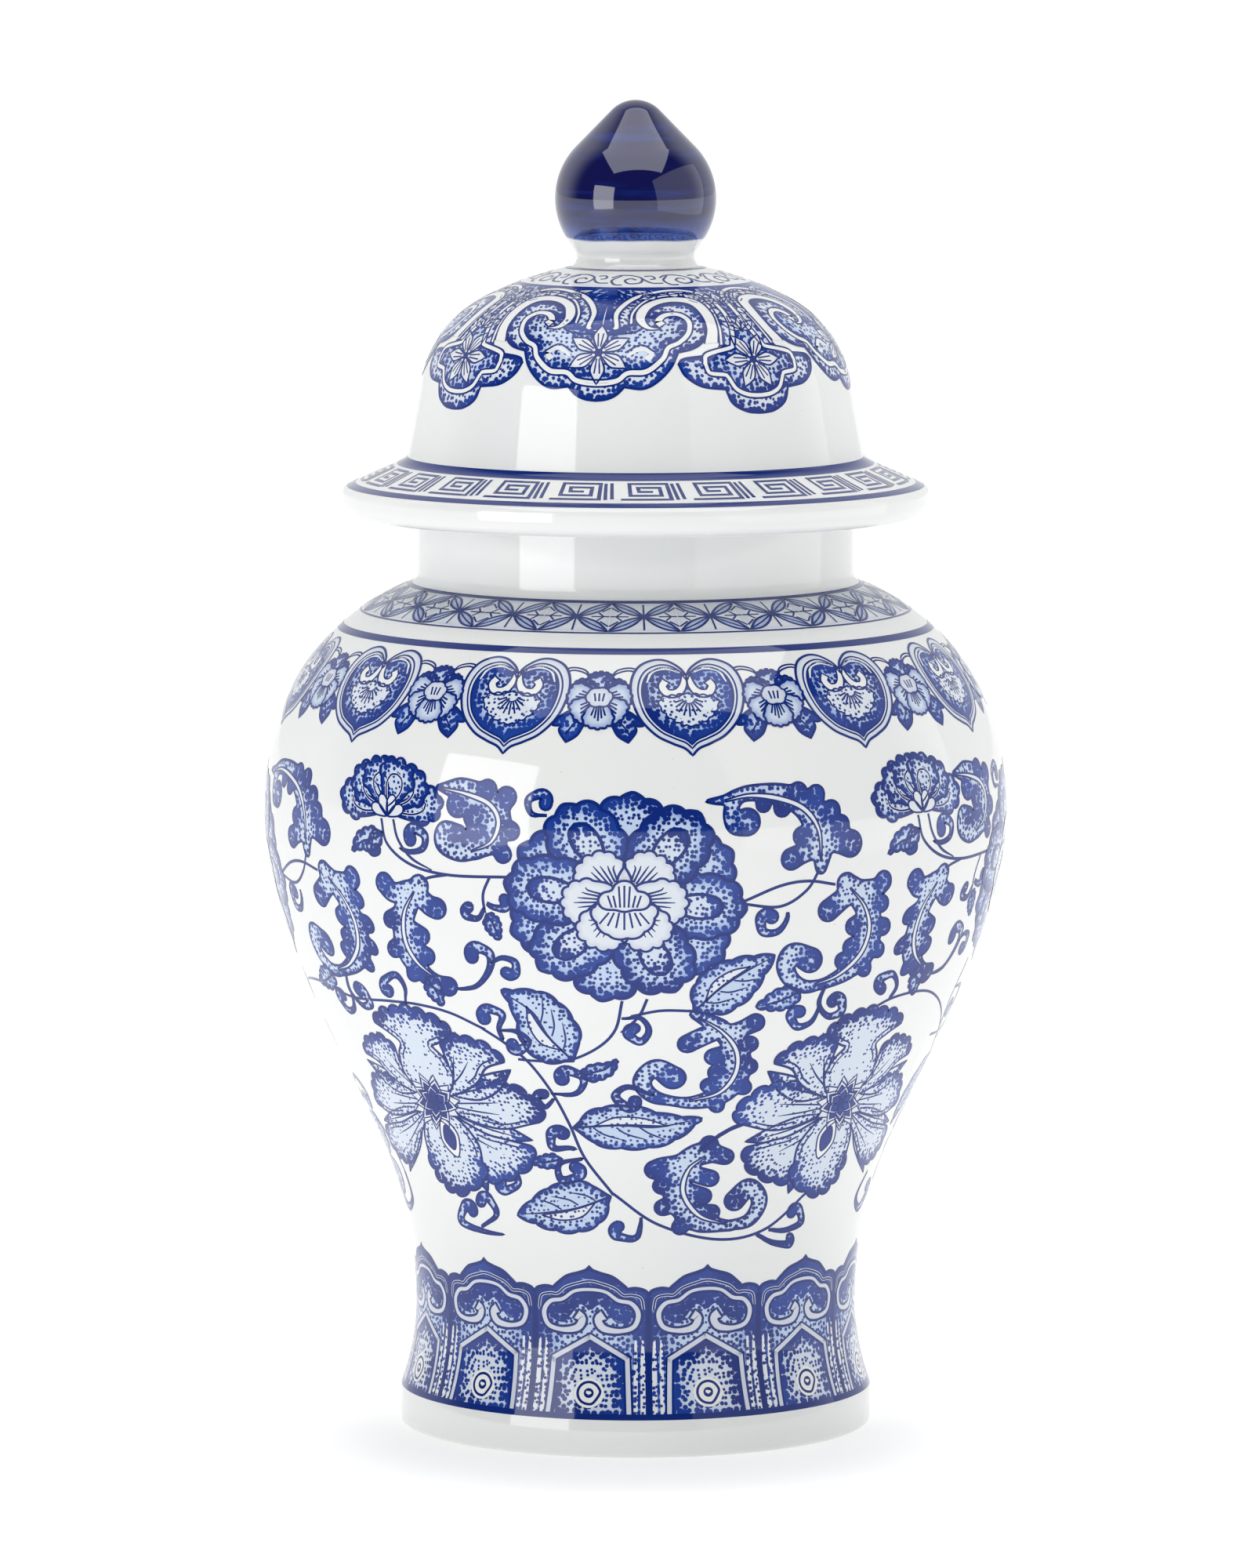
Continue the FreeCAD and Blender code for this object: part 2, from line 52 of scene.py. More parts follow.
DOME_TOP, DOME_ARC, DOME_ARC_RADIUS, DOME_CORNER = 50.4, 75.0, 35.5, 27.0
SKIRT_ANGLE, SKIRT_FILLET, BRIM_ANGLE = 80.0, 1.6, 24.0
BRIM_RADIUS, BRIM_EDGE, BRIM_DROP, BRIM_LIP_INNER = 67.4, 6.3, 6.6, 62.6
BRIM_ROUNDING, LIP_ROUNDING, LIP_INNER_ROUNDING = 2.0, 3.6, 1.2
THROAT_HEIGHT, THROAT_SLOPE_TOP = 4.0, 10.0
RING_OUTER, RING_INNER, RING_DEPTH, RING_ROUNDING = 44.3, 40.3, 13.0, 1.4
KNOB_HEIGHT, KNOB_FOOT, KNOB_STEM, KNOB_STEM_ARC = 38.0, 14.6, 13.5, 2.6
KNOB_RADIUS, KNOB_LEVEL, KNOB_ARC, KNOB_TIP_ARC = 18.5, 15.5, 17.0, 7.7
SEAT_LEVEL = NECK_TOP + SEAT_GAP
KNOB_BASE = SEAT_LEVEL + DOME_TOP

LATHE_STEPS, HIDDEN_STEPS, KNOB_STEPS = 288, 144, 128
OUTLINE_STEP, ROUNDING_STEP, KNOB_STEP, FACE_STEP = 1.0, 0.35, 0.6, 0.25
# How far apart the points of drawn curves are.
CURVE_STEP, FRILL_STEP, LOBE_STEP, UNION_STEP, STRAIGHT_STEP = 0.6, 0.3, 0.4, 0.45, 1.5


# ---------------------------------------------------------------- plane geometry
def polar(centre, radius, angle):
    """The point of a circle that lies in one direction from its centre."""
    return (centre[0] + radius * math.cos(angle), centre[1] + radius * math.sin(angle))


def arc(centre, radius, start, end, step=OUTLINE_STEP):
    """Points along an arc, both ends included, about one step apart."""
    count = max(3, int(abs(end - start) * radius / step) + 1)
    return [polar(centre, radius, angle) for angle in np.linspace(start, end, count)]


def run(start, end, step=3.0):
    """Points along a straight line, both ends included."""
    length = math.hypot(end[0] - start[0], end[1] - start[1])
    count = max(2, int(length / step) + 2)
    return [(start[0] + (end[0] - start[0]) * k, start[1] + (end[1] - start[1]) * k)
            for k in np.linspace(0, 1, count)]


def direction(start, end):
    return math.atan2(end[1] - start[1], end[0] - start[0])


def crossing(first, first_angle, second, second_angle):
    """Where two lines cross, each given by a point and a direction."""
    turn = math.sin(second_angle - first_angle)
    offset_x = second[0] - first[0]
    offset_y = second[1] - first[1]
    along = (offset_x * math.sin(second_angle) - offset_y * math.cos(second_angle)) / turn
    return polar(first, along, first_angle)


def rounded(points, radii):
    """An open line of corners, with each inner corner rounded by its own radius."""
    line = [points[0]]
    for k in range(1, len(points) - 1):
        before, corner, after = points[k - 1], points[k], points[k + 1]
        radius = radii[k - 1]
        if radius == 0:
            line.append(corner)
            continue
        back = direction(corner, before)
        ahead = direction(corner, after)
        opening = (ahead - back + math.pi) % TURN - math.pi
        cut = radius / math.tan(abs(opening) / 2)
        centre = polar(corner, radius / math.sin(abs(opening) / 2), back + opening / 2)
        first = direction(centre, polar(corner, cut, back))
        last = direction(centre, polar(corner, cut, ahead))
        sweep = (last - first + math.pi) % TURN - math.pi
        line.extend(arc(centre, radius, first, first + sweep, ROUNDING_STEP))
    line.append(points[-1])
    return line


def tidy(points):
    """The same line with no two points closer than a hundredth of a millimetre."""
    kept = [points[0]]
    for point in points[1:]:
        if math.hypot(point[0] - kept[-1][0], point[1] - kept[-1][1]) > 0.01:
            kept.append(point)
    return kept


# ---------------------------------------------------------------- outlines of the pieces
def jar_arcs():
    """The circles that the jar's wall follows, and the angles where they meet."""
    belly = (BELLY_RADIUS - BELLY_ARC, BELLY_LEVEL)
    low_turn = math.asin((LOWER_ARC_TOP - belly[1]) / BELLY_ARC)
    high_turn = math.asin((SHOULDER_ARC_BASE - belly[1]) / BELLY_ARC)
    lower = polar(belly, BELLY_ARC - LOWER_ARC, low_turn)
    shoulder = polar(belly, BELLY_ARC - SHOULDER_ARC, high_turn)
    waist = (WAIST_RADIUS + WAIST_ARC, WAIST_LEVEL)
    apart = math.hypot(waist[0] - lower[0], waist[1] - lower[1])
    slope_turn = direction(lower, waist) + math.acos((LOWER_ARC + WAIST_ARC) / apart)
    fillet_x = NECK_RADIUS + NECK_FILLET
    span = SHOULDER_ARC + NECK_FILLET
    fillet = (fillet_x, shoulder[1] + math.sqrt(span ** 2 - (fillet_x - shoulder[0]) ** 2))
    return belly, lower, shoulder, waist, fillet, low_turn, high_turn, slope_turn


def jar_wall(inward):
    """The line from the waist up to the neck's top, this far inside the outer face."""
    belly, lower, shoulder, waist, fillet, low_turn, high_turn, slope_turn = jar_arcs()
    neck_turn = direction(shoulder, fillet)
    line = arc(waist, WAIST_ARC + inward, math.pi, math.pi + slope_turn)
    line += run(line[-1], polar(lower, LOWER_ARC - inward, slope_turn), 1.0)
    line += arc(lower, LOWER_ARC - inward, slope_turn, low_turn)
    line += arc(belly, BELLY_ARC - inward, low_turn, high_turn)
    line += arc(shoulder, SHOULDER_ARC - inward, high_turn, neck_turn)
    line += arc(fillet, NECK_FILLET + inward, math.pi + neck_turn, math.pi, ROUNDING_STEP)
    return line


def foot_flare():
    """The hollow from the upright foot band up to the waist."""
    spread = FOOT_RADIUS - WAIST_RADIUS
    drop = WAIST_LEVEL - FOOT_BAND
    radius = (spread ** 2 + drop ** 2) / (2 * spread)
    centre = (WAIST_RADIUS + radius, WAIST_LEVEL)
    start = direction(centre, (FOOT_RADIUS, FOOT_BAND)) % TURN
    return arc(centre, radius, start, math.pi)


def jar_outside():
    """From the foot's lower edge up to the top of the neck."""
    return tidy(run((FOOT_RADIUS, 0), (FOOT_RADIUS, FOOT_BAND), 1.0) + foot_flare()
                + jar_wall(0) + [(NECK_RADIUS, NECK_TOP)])


def jar_glazed_outline():
    """All of the jar but its bare foot ring, from the recess round to the foot's edge."""
    ring_in = FOOT_RING_INNER + FOOT_ROUNDING
    ring_out = FOOT_RADIUS - FOOT_ROUNDING
    recess = rounded([(0, FOOT_RECESS), (FOOT_RING_INNER, FOOT_RECESS), (FOOT_RING_INNER, 0),
                      (ring_in + 0.5, 0)], [0, FOOT_ROUNDING])[:-1]
    outer = jar_wall(0)
    rim = rounded([outer[-1], (NECK_RADIUS, NECK_TOP), (NECK_RADIUS - WALL, NECK_TOP),
                   (NECK_RADIUS - WALL, outer[-1][1])], [RIM_ROUNDING, RIM_ROUNDING])
    inner = jar_wall(WALL)[::-1]
    inner_x = WAIST_RADIUS - WALL
    well = rounded([(inner_x, WAIST_LEVEL), (inner_x, FLOOR_LEVEL), (0, FLOOR_LEVEL)],
                   [FLOOR_CORNER])
    edge = rounded([(ring_out - 0.5, 0), (FOOT_RADIUS, 0), (FOOT_RADIUS, FOOT_BAND)],
                   [FOOT_ROUNDING])[1:]
    return recess, tidy(edge + foot_flare() + outer + rim + inner + well)


def lid_lines():
    """The dome's arcs and the bend into the brim, in the lid's own heights."""
    dome = (0, DOME_TOP - math.sqrt(DOME_ARC ** 2 - KNOB_FOOT ** 2))
    seat_turn = math.acos(KNOB_FOOT / DOME_ARC)
    corner_turn = math.acos(DOME_ARC_RADIUS / DOME_ARC)
    corner = polar(dome, DOME_ARC - DOME_CORNER, corner_turn)
    skirt_fall = -math.radians(SKIRT_ANGLE)
    brim_fall = -math.radians(BRIM_ANGLE)
    skirt_turn = skirt_fall + math.pi / 2
    skirt_top = polar(corner, DOME_CORNER, skirt_turn)
    brim_corner = (BRIM_RADIUS, BRIM_EDGE - BRIM_DROP)
    bend = crossing(skirt_top, skirt_fall, brim_corner, brim_fall)
    return dome, seat_turn, corner, corner_turn, skirt_turn, skirt_fall, bend, brim_corner


def raised(points, height):
    return [(point[0], point[1] + height) for point in points]


def lid_outside():
    """From the knob's foot down over the dome and the brim to the seat."""
    dome, seat_turn, corner, corner_turn, skirt_turn, _, bend, brim_corner = lid_lines()
    line = arc(dome, DOME_ARC, seat_turn, corner_turn)
    line += arc(corner, DOME_CORNER, corner_turn, skirt_turn)
    corners = [line[-1], bend, brim_corner, (BRIM_RADIUS, -BRIM_DROP),
               (BRIM_LIP_INNER, -BRIM_DROP), (SEAT_RADIUS, 0)]
    line += rounded(corners, [SKIRT_FILLET, BRIM_ROUNDING, LIP_ROUNDING, LIP_INNER_ROUNDING])
    return raised(tidy(line), SEAT_LEVEL)


def lid_outline():
    """The whole section of the lid shell, from the axis over the outside to the inside."""
    dome, _, corner, corner_turn, skirt_turn, skirt_fall, _, _ = lid_lines()
    inner_corner = DOME_CORNER - LID_WALL
    skirt_top = polar(corner, inner_corner, skirt_turn)
    slope_top = crossing(skirt_top, skirt_fall, (0, THROAT_SLOPE_TOP), 0)
    inside = rounded([(SEAT_RADIUS, 0), (RING_INNER, 0), (RING_INNER, THROAT_HEIGHT),
                      slope_top, skirt_top], [0.6, 2.0, 3.0])
    inside += arc(corner, inner_corner, skirt_turn, corner_turn)
    inside += arc(dome, DOME_ARC - LID_WALL, corner_turn, math.pi / 2)
    return tidy([(0, KNOB_BASE)] + lid_outside() + raised(inside, SEAT_LEVEL))


def ring_outline():
    corners = [(RING_INNER, 0), (RING_INNER, -RING_DEPTH), (RING_OUTER, -RING_DEPTH),
               (RING_OUTER, 0)]
    return raised(rounded(corners, [RING_ROUNDING, RING_ROUNDING]), SEAT_LEVEL)


def knob_outline():
    """The onion-shaped knob, from the middle of its foot up to its tip."""
    ball = (KNOB_RADIUS - KNOB_ARC, KNOB_LEVEL)
    tip = (0, KNOB_HEIGHT - KNOB_TIP_ARC)
    stem_x = KNOB_STEM + KNOB_STEM_ARC
    stem_rise = math.sqrt(KNOB_STEM_ARC ** 2 - (stem_x - KNOB_FOOT) ** 2)
    stem = (stem_x, stem_rise)
    apart = math.hypot(stem[0] - ball[0], stem[1] - ball[1])
    lower_turn = direction(ball, stem) + math.acos((KNOB_STEM_ARC + KNOB_ARC) / apart)
    reach = math.hypot(tip[0] - ball[0], tip[1] - ball[1])
    upper_turn = direction(ball, tip) - math.acos((KNOB_ARC - KNOB_TIP_ARC) / reach)
    foot_turn = direction(stem, (KNOB_FOOT, 0)) % TURN
    line = [(0, 0)] + arc(stem, KNOB_STEM_ARC, foot_turn, math.pi + lower_turn, 0.3)
    line += arc(ball, KNOB_ARC, lower_turn, upper_turn, KNOB_STEP)
    line += arc(tip, KNOB_TIP_ARC, upper_turn, math.pi / 2, KNOB_STEP)
    return raised(tidy(line), KNOB_BASE)


class Surface:
    """A body's face of revolution that drawings lie on, measured along its outline."""

    def __init__(self, outline, body):
        self.body = body
        line = np.array(outline, float)
        steps = np.hypot(*np.diff(line, axis=0).T)
        along = np.concatenate([[0], np.cumsum(steps)])
        self.along = np.arange(0, along[-1], FACE_STEP)
        self.radius = np.interp(self.along, along, line[:, 0])
        self.height = np.interp(self.along, along, line[:, 1])
        slope_r = np.gradient(self.radius, self.along)
        slope_z = np.gradient(self.height, self.along)
        size = np.hypot(slope_r, slope_z)
        self.out_r = slope_z / size
        self.out_z = -slope_r / size
        self.upward = self.height[-1] > self.height[0]
        if not self.upward:
            self.out_r, self.out_z = -self.out_r, -self.out_z

    def at_height(self, height):
        """The distance along the outline of the first place at this height."""
        if self.upward:
            return float(np.interp(height, self.height, self.along))
        return float(np.interp(-height, -self.height, self.along))

    def at_radius(self, radius):
        """The distance along a falling outline of the place with this radius."""
        widest = int(np.argmax(self.radius)) + 1
        return float(np.interp(radius, self.radius[:widest], self.along[:widest]))

    def radius_at(self, along):
        """The radius at a distance along the outline."""
        return float(np.interp(along, self.along, self.radius))

    def lay(self, points, angle, along, lift, steady=None):
        """Lays plane points (right, up) on the face, about a place on it.

        Across, a plane millimetre stays a millimetre on the face, unless a steady radius
        is given: then upright lines stay upright. Returns the places in metres and the
        outward directions there.
        """
        sign = 1 if self.upward else -1
        distance = along + sign * points[:, 1]
        radius = np.interp(distance, self.along, self.radius)
        height = np.interp(distance, self.along, self.height)
        out_r = np.interp(distance, self.along, self.out_r)
        out_z = np.interp(distance, self.along, self.out_z)
        turn = angle + points[:, 0] / (steady or radius)
        out_size = np.hypot(out_r, out_z)
        out_r, out_z = out_r / out_size, out_z / out_size
        far = radius + out_r * lift
        places = np.stack([far * np.sin(turn), -far * np.cos(turn), height + out_z * lift], 1)
        normals = np.stack([out_r * np.sin(turn), -out_r * np.cos(turn), out_z], 1)
        return places * MM, normals


# ---------------------------------------------------------------- meshes
def link(name, mesh, body, material):
    """A new piece that rides on a body and takes its finish from a material slot."""
    piece = bpy.data.objects.new(name, mesh)
    bpy.context.scene.collection.objects.link(piece)
    mesh.materials.append(material)
    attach(piece, body)
    return piece


def lathe(name, outline, body, material, steps=LATHE_STEPS):
    """Turns an open outline, in millimetres, round the axis into a smooth mesh."""
    vertices = []
    rings = []
    for radius, height in outline:
        if radius < 1e-6:
            rings.append([len(vertices)] * steps)
            vertices.append((0, 0, height * MM))
            continue
        rings.append(list(range(len(vertices), len(vertices) + steps)))
        for k in range(steps):
            turn = TURN * k / steps
            vertices.append((radius * math.sin(turn) * MM, -radius * math.cos(turn) * MM,
                             height * MM))
    faces = []
    for lower, upper in zip(rings, rings[1:]):
        for k in range(steps):
            after = (k + 1) % steps
            corners = [lower[k], lower[after], upper[after], upper[k]]
            kept = [c for n, c in enumerate(corners) if c not in corners[:n]]
            faces.append(kept)
    mesh = bpy.data.meshes.new(name)
    mesh.from_pydata(vertices, [], faces)
    mesh.validate()
    mesh.shade_smooth()
    return link(name, mesh, body, material)


# ---------------------------------------------------------------- materials
class Nodes:
    """A short way to write a material's node tree."""

    def __init__(self, name):
        self.material = bpy.data.materials.new(name)
        self.material.use_nodes = True
        self.tree = self.material.node_tree
        self.shader = self.tree.nodes["Principled BSDF"]

    def add(self, kind, inputs=None, **settings):
        node = self.tree.nodes.new(kind)
        for key, value in settings.items():
            setattr(node, key, value)
        for key, value in (inputs or {}).items():
            self.feed(node, key, value)
        return node

    def feed(self, node, key, value):
        if isinstance(value, bpy.types.NodeSocket):
            self.tree.links.new(value, node.inputs[key])
        else:
            node.inputs[key].default_value = value

    def object_place(self):
        return self.add("ShaderNodeTexCoord").outputs["Object"]

    def noise(self, place, scale, detail):
        node = self.add("ShaderNodeTexNoise", {"Vector": place, "Scale": scale, "Detail": detail})
        return node.outputs["Fac"]

    def math(self, operation, first, second=0.0, third=0.0):
        node = self.add("ShaderNodeMath", {0: first, 1: second, 2: third}, operation=operation)
        return node.outputs[0]

    def spread(self, value, low, high, to_low=0.0, to_high=1.0):
        """A smooth step of a value from one range to another."""
        node = self.add("ShaderNodeMapRange",
                        {"Value": value, "From Min": low, "From Max": high,
                         "To Min": to_low, "To Max": to_high},
                        interpolation_type="SMOOTHSTEP")
        return node.outputs["Result"]

    def mix(self, factor, first, second):
        node = self.add("ShaderNodeMix", {0: factor, 6: first, 7: second}, data_type="RGBA")
        return node.outputs[2]

    def bump(self, height, strength, distance):
        node = self.add("ShaderNodeBump", {"Height": height, "Strength": strength,
                                           "Distance": distance})
        return node.outputs["Normal"]

    def finish(self, colour=None, normal=None, **constants):
        if colour is not None:
            self.feed(self.shader, "Base Color", colour)
        if normal is not None:
            self.feed(self.shader, "Normal", normal)
        for key, value in constants.items():
            self.shader.inputs[key.replace("_", " ")].default_value = value
        return self.material


GLAZE_ROUGHNESS, KNOB_ROUGHNESS, BARE_ROUGHNESS = 0.045, 0.04, 0.75
WHITE_IOR, PAINT_IOR, KNOB_IOR = 1.6, 1.5, 1.75
WHITE_GLAZE = (0.835, 0.845, 0.832, 1)
COOL_GLAZE = (0.815, 0.835, 0.83, 1)
GLAZE_SPECK = (0.45, 0.42, 0.38, 1)
BARE_DARK, BARE_PALE = (0.52, 0.47, 0.41, 1), (0.66, 0.61, 0.54, 1)
BARE_STAIN = (0.36, 0.31, 0.26, 1)


def porcelain_material():
    """White porcelain under a clear glaze: faintly uneven in tone, with a few tiny specks."""
    nodes = Nodes("white_porcelain")
    place = nodes.object_place()
    cloud = nodes.noise(place, scale=22.0, detail=3.0)
    colour = nodes.mix(nodes.spread(cloud, 0.35, 0.7), WHITE_GLAZE, COOL_GLAZE)
    speck = nodes.noise(place, scale=900.0, detail=1.0)
    colour = nodes.mix(nodes.spread(speck, 0.79, 0.84, 0.0, 0.35), colour, GLAZE_SPECK)
    return nodes.finish(colour, None, Roughness=GLAZE_ROUGHNESS, IOR=WHITE_IOR)


def biscuit_material():
    """Bare fired clay of the foot and of the lid's ring, matt and finely grained."""
    nodes = Nodes("bare_biscuit")
    place = nodes.object_place()
    grain = nodes.noise(place, scale=1600.0, detail=3.0)
    stain = nodes.noise(place, scale=60.0, detail=2.0)
    colour = nodes.mix(nodes.spread(grain, 0.3, 0.7), BARE_DARK, BARE_PALE)
    colour = nodes.mix(nodes.spread(stain, 0.5, 0.75, 0.0, 0.5), colour, BARE_STAIN)
    normal = nodes.bump(grain, strength=0.5, distance=0.0001)
    return nodes.finish(colour, normal, Roughness=BARE_ROUGHNESS)


# The stipple: how dense and how scattered the dots are, how fast they shrink away from the
# dark parts, their sizes at most and far in, how much one differs from the next, how soft
# their edges are, and where and how many of them drop out far in.
DOTS_PER_MM, DOT_SCATTER = 0.84, 0.8
DOT_FALL, DOT_GROWTH, DOT_SMALLEST, DOT_SIZES, DOT_EDGE = -5.5, 0.80, 0.25, (0.85, 1.12), 0.08
SPARSE_FROM, SPARSE_TO, SPARSE_SHARE = 0.5, 1.0, 0.75
PALE_DEPTH = 0.42
INK_BLUE = (0.003, 0.022, 0.185, 1)
DEEP_COBALT = (0.003, 0.020, 0.190, 1)
MID_COBALT = (0.013, 0.052, 0.310, 1)
WASH_BLUE = (0.520, 0.630, 0.810, 1)
WASH_DEEPER = (0.160, 0.270, 0.600, 1)
KNOB_COBALT, KNOB_STREAK = (0.0006, 0.0016, 0.066, 1), (0.002, 0.036, 0.290, 1)
KNOB_MOTTLE = (0.024, 0.070, 0.330, 1)
# The height where the white stem ends, and how much the cobalt's edge wanders, in
# millimetres; how far up the cobalt is mottled; and how flat the brush streaks are.
STEM_TOP, EDGE_WANDER, MOTTLE_HEIGHT, STREAK_FLATNESS = 273.5, 1.2, 5.5, 9.0


def inked_material():
    """The drawn lines: solid cobalt under the glaze."""
    nodes = Nodes("cobalt_lines")
    nodes.shader.inputs["Base Color"].default_value = INK_BLUE
    return nodes.finish(None, None, Roughness=GLAZE_ROUGHNESS, IOR=PAINT_IOR)


def painted_material():
    """Cobalt painting under the glaze.

    The paint attribute holds, at each point of a drawn shape: solid ink, pale wash, how
    far in from the shape's dark parts the point lies, and how strong the stipple is. The
    spot attribute holds the point's place in the plane drawing, in millimetres.
    """
    nodes = Nodes("cobalt_painting")
    place = nodes.object_place()
    paint = nodes.add("ShaderNodeAttribute", attribute_name="paint")
    parts = nodes.add("ShaderNodeSeparateColor", {"Color": paint.outputs["Color"]})
    ink, wash, depth = parts.outputs[0], parts.outputs[1], parts.outputs[2]
    stipple = paint.outputs["Alpha"]
    spot = nodes.add("ShaderNodeAttribute", attribute_name="spot")
    dots = nodes.add("ShaderNodeTexVoronoi", {"Vector": spot.outputs["Vector"],
                                              "Scale": DOTS_PER_MM, "Randomness": DOT_SCATTER},
                     voronoi_dimensions="2D")
    shade = nodes.add("ShaderNodeSeparateColor", {"Color": dots.outputs["Color"]})
    fall = nodes.math("EXPONENT", nodes.math("MULTIPLY", depth, DOT_FALL))
    reach = nodes.math("MULTIPLY_ADD", fall, DOT_GROWTH, DOT_SMALLEST)
    size = nodes.math("MULTIPLY", reach, nodes.spread(shade.outputs[0], 0.0, 1.0, *DOT_SIZES))
    apart = nodes.math("SUBTRACT", size, dots.outputs["Distance"])
    sparse = nodes.spread(depth, SPARSE_FROM, SPARSE_TO, 0.0, SPARSE_SHARE)
    present = nodes.math("GREATER_THAN", shade.outputs[1], sparse)
    strength = nodes.math("MULTIPLY", present, stipple)
    dotted = nodes.math("MULTIPLY", nodes.spread(apart, -DOT_EDGE, DOT_EDGE), strength)
    tone = nodes.math("MAXIMUM", ink, dotted)
    cloud = nodes.noise(place, scale=70.0, detail=3.0)
    dark = nodes.mix(nodes.spread(cloud, 0.3, 0.7), DEEP_COBALT, MID_COBALT)
    pale = nodes.mix(nodes.spread(depth, 0.0, PALE_DEPTH), WASH_DEEPER, WASH_BLUE)
    ground = nodes.mix(wash, WHITE_GLAZE, pale)
    colour = nodes.mix(tone, ground, dark)
    return nodes.finish(colour, None, Roughness=GLAZE_ROUGHNESS, IOR=PAINT_IOR)


def knob_material():
    """Very dark cobalt with level brush streaks, over a white stem."""
    nodes = Nodes("knob_cobalt")
    place = nodes.object_place()
    split = nodes.add("ShaderNodeSeparateXYZ", {"Vector": place})
    height = split.outputs["Z"]
    level = nodes.add("ShaderNodeCombineXYZ", {
        "X": split.outputs["X"], "Y": split.outputs["Y"],
        "Z": nodes.math("MULTIPLY", height, STREAK_FLATNESS)})
    streak = nodes.noise(level.outputs["Vector"], scale=45.0, detail=4.0)
    colour = nodes.mix(nodes.spread(streak, 0.5, 0.72, 0.0, 0.5), KNOB_COBALT, KNOB_STREAK)
    mottle = nodes.noise(place, scale=260.0, detail=3.0)
    near_stem = nodes.spread(height, (STEM_TOP + 0.4) * MM, (STEM_TOP + MOTTLE_HEIGHT) * MM,
                             1.0, 0.0)
    patchy = nodes.math("MULTIPLY", near_stem, nodes.spread(mottle, 0.3, 0.6, 0.35, 1.0))
    colour = nodes.mix(patchy, colour, KNOB_MOTTLE)
    wobble = nodes.math("MULTIPLY_ADD", nodes.noise(place, scale=60.0, detail=2.0),
                        EDGE_WANDER * MM, -EDGE_WANDER / 2 * MM)
    edge = nodes.math("ADD", height, wobble)
    stem = nodes.spread(edge, (STEM_TOP - 0.35) * MM, (STEM_TOP + 0.25) * MM)
    colour = nodes.mix(stem, WHITE_GLAZE, colour)
    return nodes.finish(colour, None, Roughness=KNOB_ROUGHNESS, IOR=KNOB_IOR)


# ---------------------------------------------------------------- drawing on the plane
def smooth(points, closed=False, step=CURVE_STEP):
    """A curve through a few points, as an array of places about one step apart."""
    points = np.array(points, float)
    if closed:
        points = np.vstack([points[-1], points, points[0], points[1]])
    else:
        points = np.vstack([2 * points[0] - points[1], points, 2 * points[-1] - points[-2]])
    line = []
    for p0, p1, p2, p3 in zip(points, points[1:], points[2:], points[3:]):
        count = max(2, int(np.hypot(*(p2 - p1)) / step) + 1)
        k = np.linspace(0, 1, count, endpoint=False)[:, None]
        line.append(0.5 * (2 * p1 + (p2 - p0) * k + (2 * p0 - 5 * p1 + 4 * p2 - p3) * k ** 2
                           + (3 * p1 - p0 - 3 * p2 + p3) * k ** 3))
    if not closed:
        line.append(points[-2][None])
    return np.vstack(line)


def normals_of(line, closed=False):
    """The left-hand directions along a line."""
    step = np.roll(line, -1, 0) - np.roll(line, 1, 0) if closed else np.gradient(line, axis=0)
    size = np.maximum(np.hypot(step[:, 0], step[:, 1]), 1e-9)
    return np.stack([-step[:, 1], step[:, 0]], 1) / size[:, None]


def profile(values, count):
    """A few values spread evenly over a number of places."""
    values = np.atleast_1d(np.array(values, float))
    return np.interp(np.linspace(0, 1, count), np.linspace(0, 1, len(values)), values)


def sides(points, widths, closed=False):
    """The left and right edges of a stroke along a curve."""
    line = smooth(points, closed)
    half = normals_of(line, closed) * (profile(widths, len(line)) / 2)[:, None]
    return line + half, line - half


def joined(*curves):
    """One closed outline made of curves that follow on from each other, with sharp joints."""
    parts = []
    for curve in curves:
        parts.append(curve[:-1] if isinstance(curve, np.ndarray) else smooth(curve)[:-1])
    return np.vstack(parts)


def frill(points, count, height):
    """An open curve scalloped to its left, or to its right when the height is negative."""
    line = smooth(points, step=FRILL_STEP)
    steps = np.hypot(*np.diff(line, axis=0).T)
    share = np.concatenate([[0], np.cumsum(steps)]) / steps.sum()
    swell = np.abs(np.sin(math.pi * count * share)) ** 0.6 * height
    return line + normals_of(line) * swell[:, None]


def lobed(outline, count, height, first=0.0, last=1.0, sharp=0.6):
    """Swells a closed outline into rounded lobes with notches, over part of its length."""
    line = np.array(outline, float)
    after = np.roll(line, -1, 0)
    area = np.sum(line[:, 0] * after[:, 1] - line[:, 1] * after[:, 0])
    steps = np.hypot(*(after - line).T)
    along = np.concatenate([[0], np.cumsum(steps)]) / steps.sum()
    ring = np.vstack([line, line[:1]])
    fine = np.linspace(0, 1, int(steps.sum() / LOBE_STEP), endpoint=False)
    line = np.stack([np.interp(fine, along, ring[:, k]) for k in (0, 1)], 1)
    share = (fine - first) / (last - first)
    swell = np.abs(np.sin(math.pi * count * share)) ** sharp
    swell = np.where((share > 0) & (share < 1), swell, 0)
    return line - np.sign(area) * normals_of(line, True) * (swell * height)[:, None]


def distance_to(points, outline):
    """How far each point is from a closed outline."""
    step = np.roll(outline, -1, 0) - outline
    size = np.maximum((step ** 2).sum(1), 1e-12)
    gap = points[:, None] - outline[None]
    share = np.clip((gap * step[None]).sum(2) / size[None], 0, 1)
    gap -= share[..., None] * step[None]
    return np.sqrt((gap ** 2).sum(2)).min(1)


def nearest_of(points, others):
    """How far each point is from the nearest of some other points."""
    gap = points[:, None] - np.asarray(others, float)[None]
    return np.sqrt((gap ** 2).sum(2)).min(1)


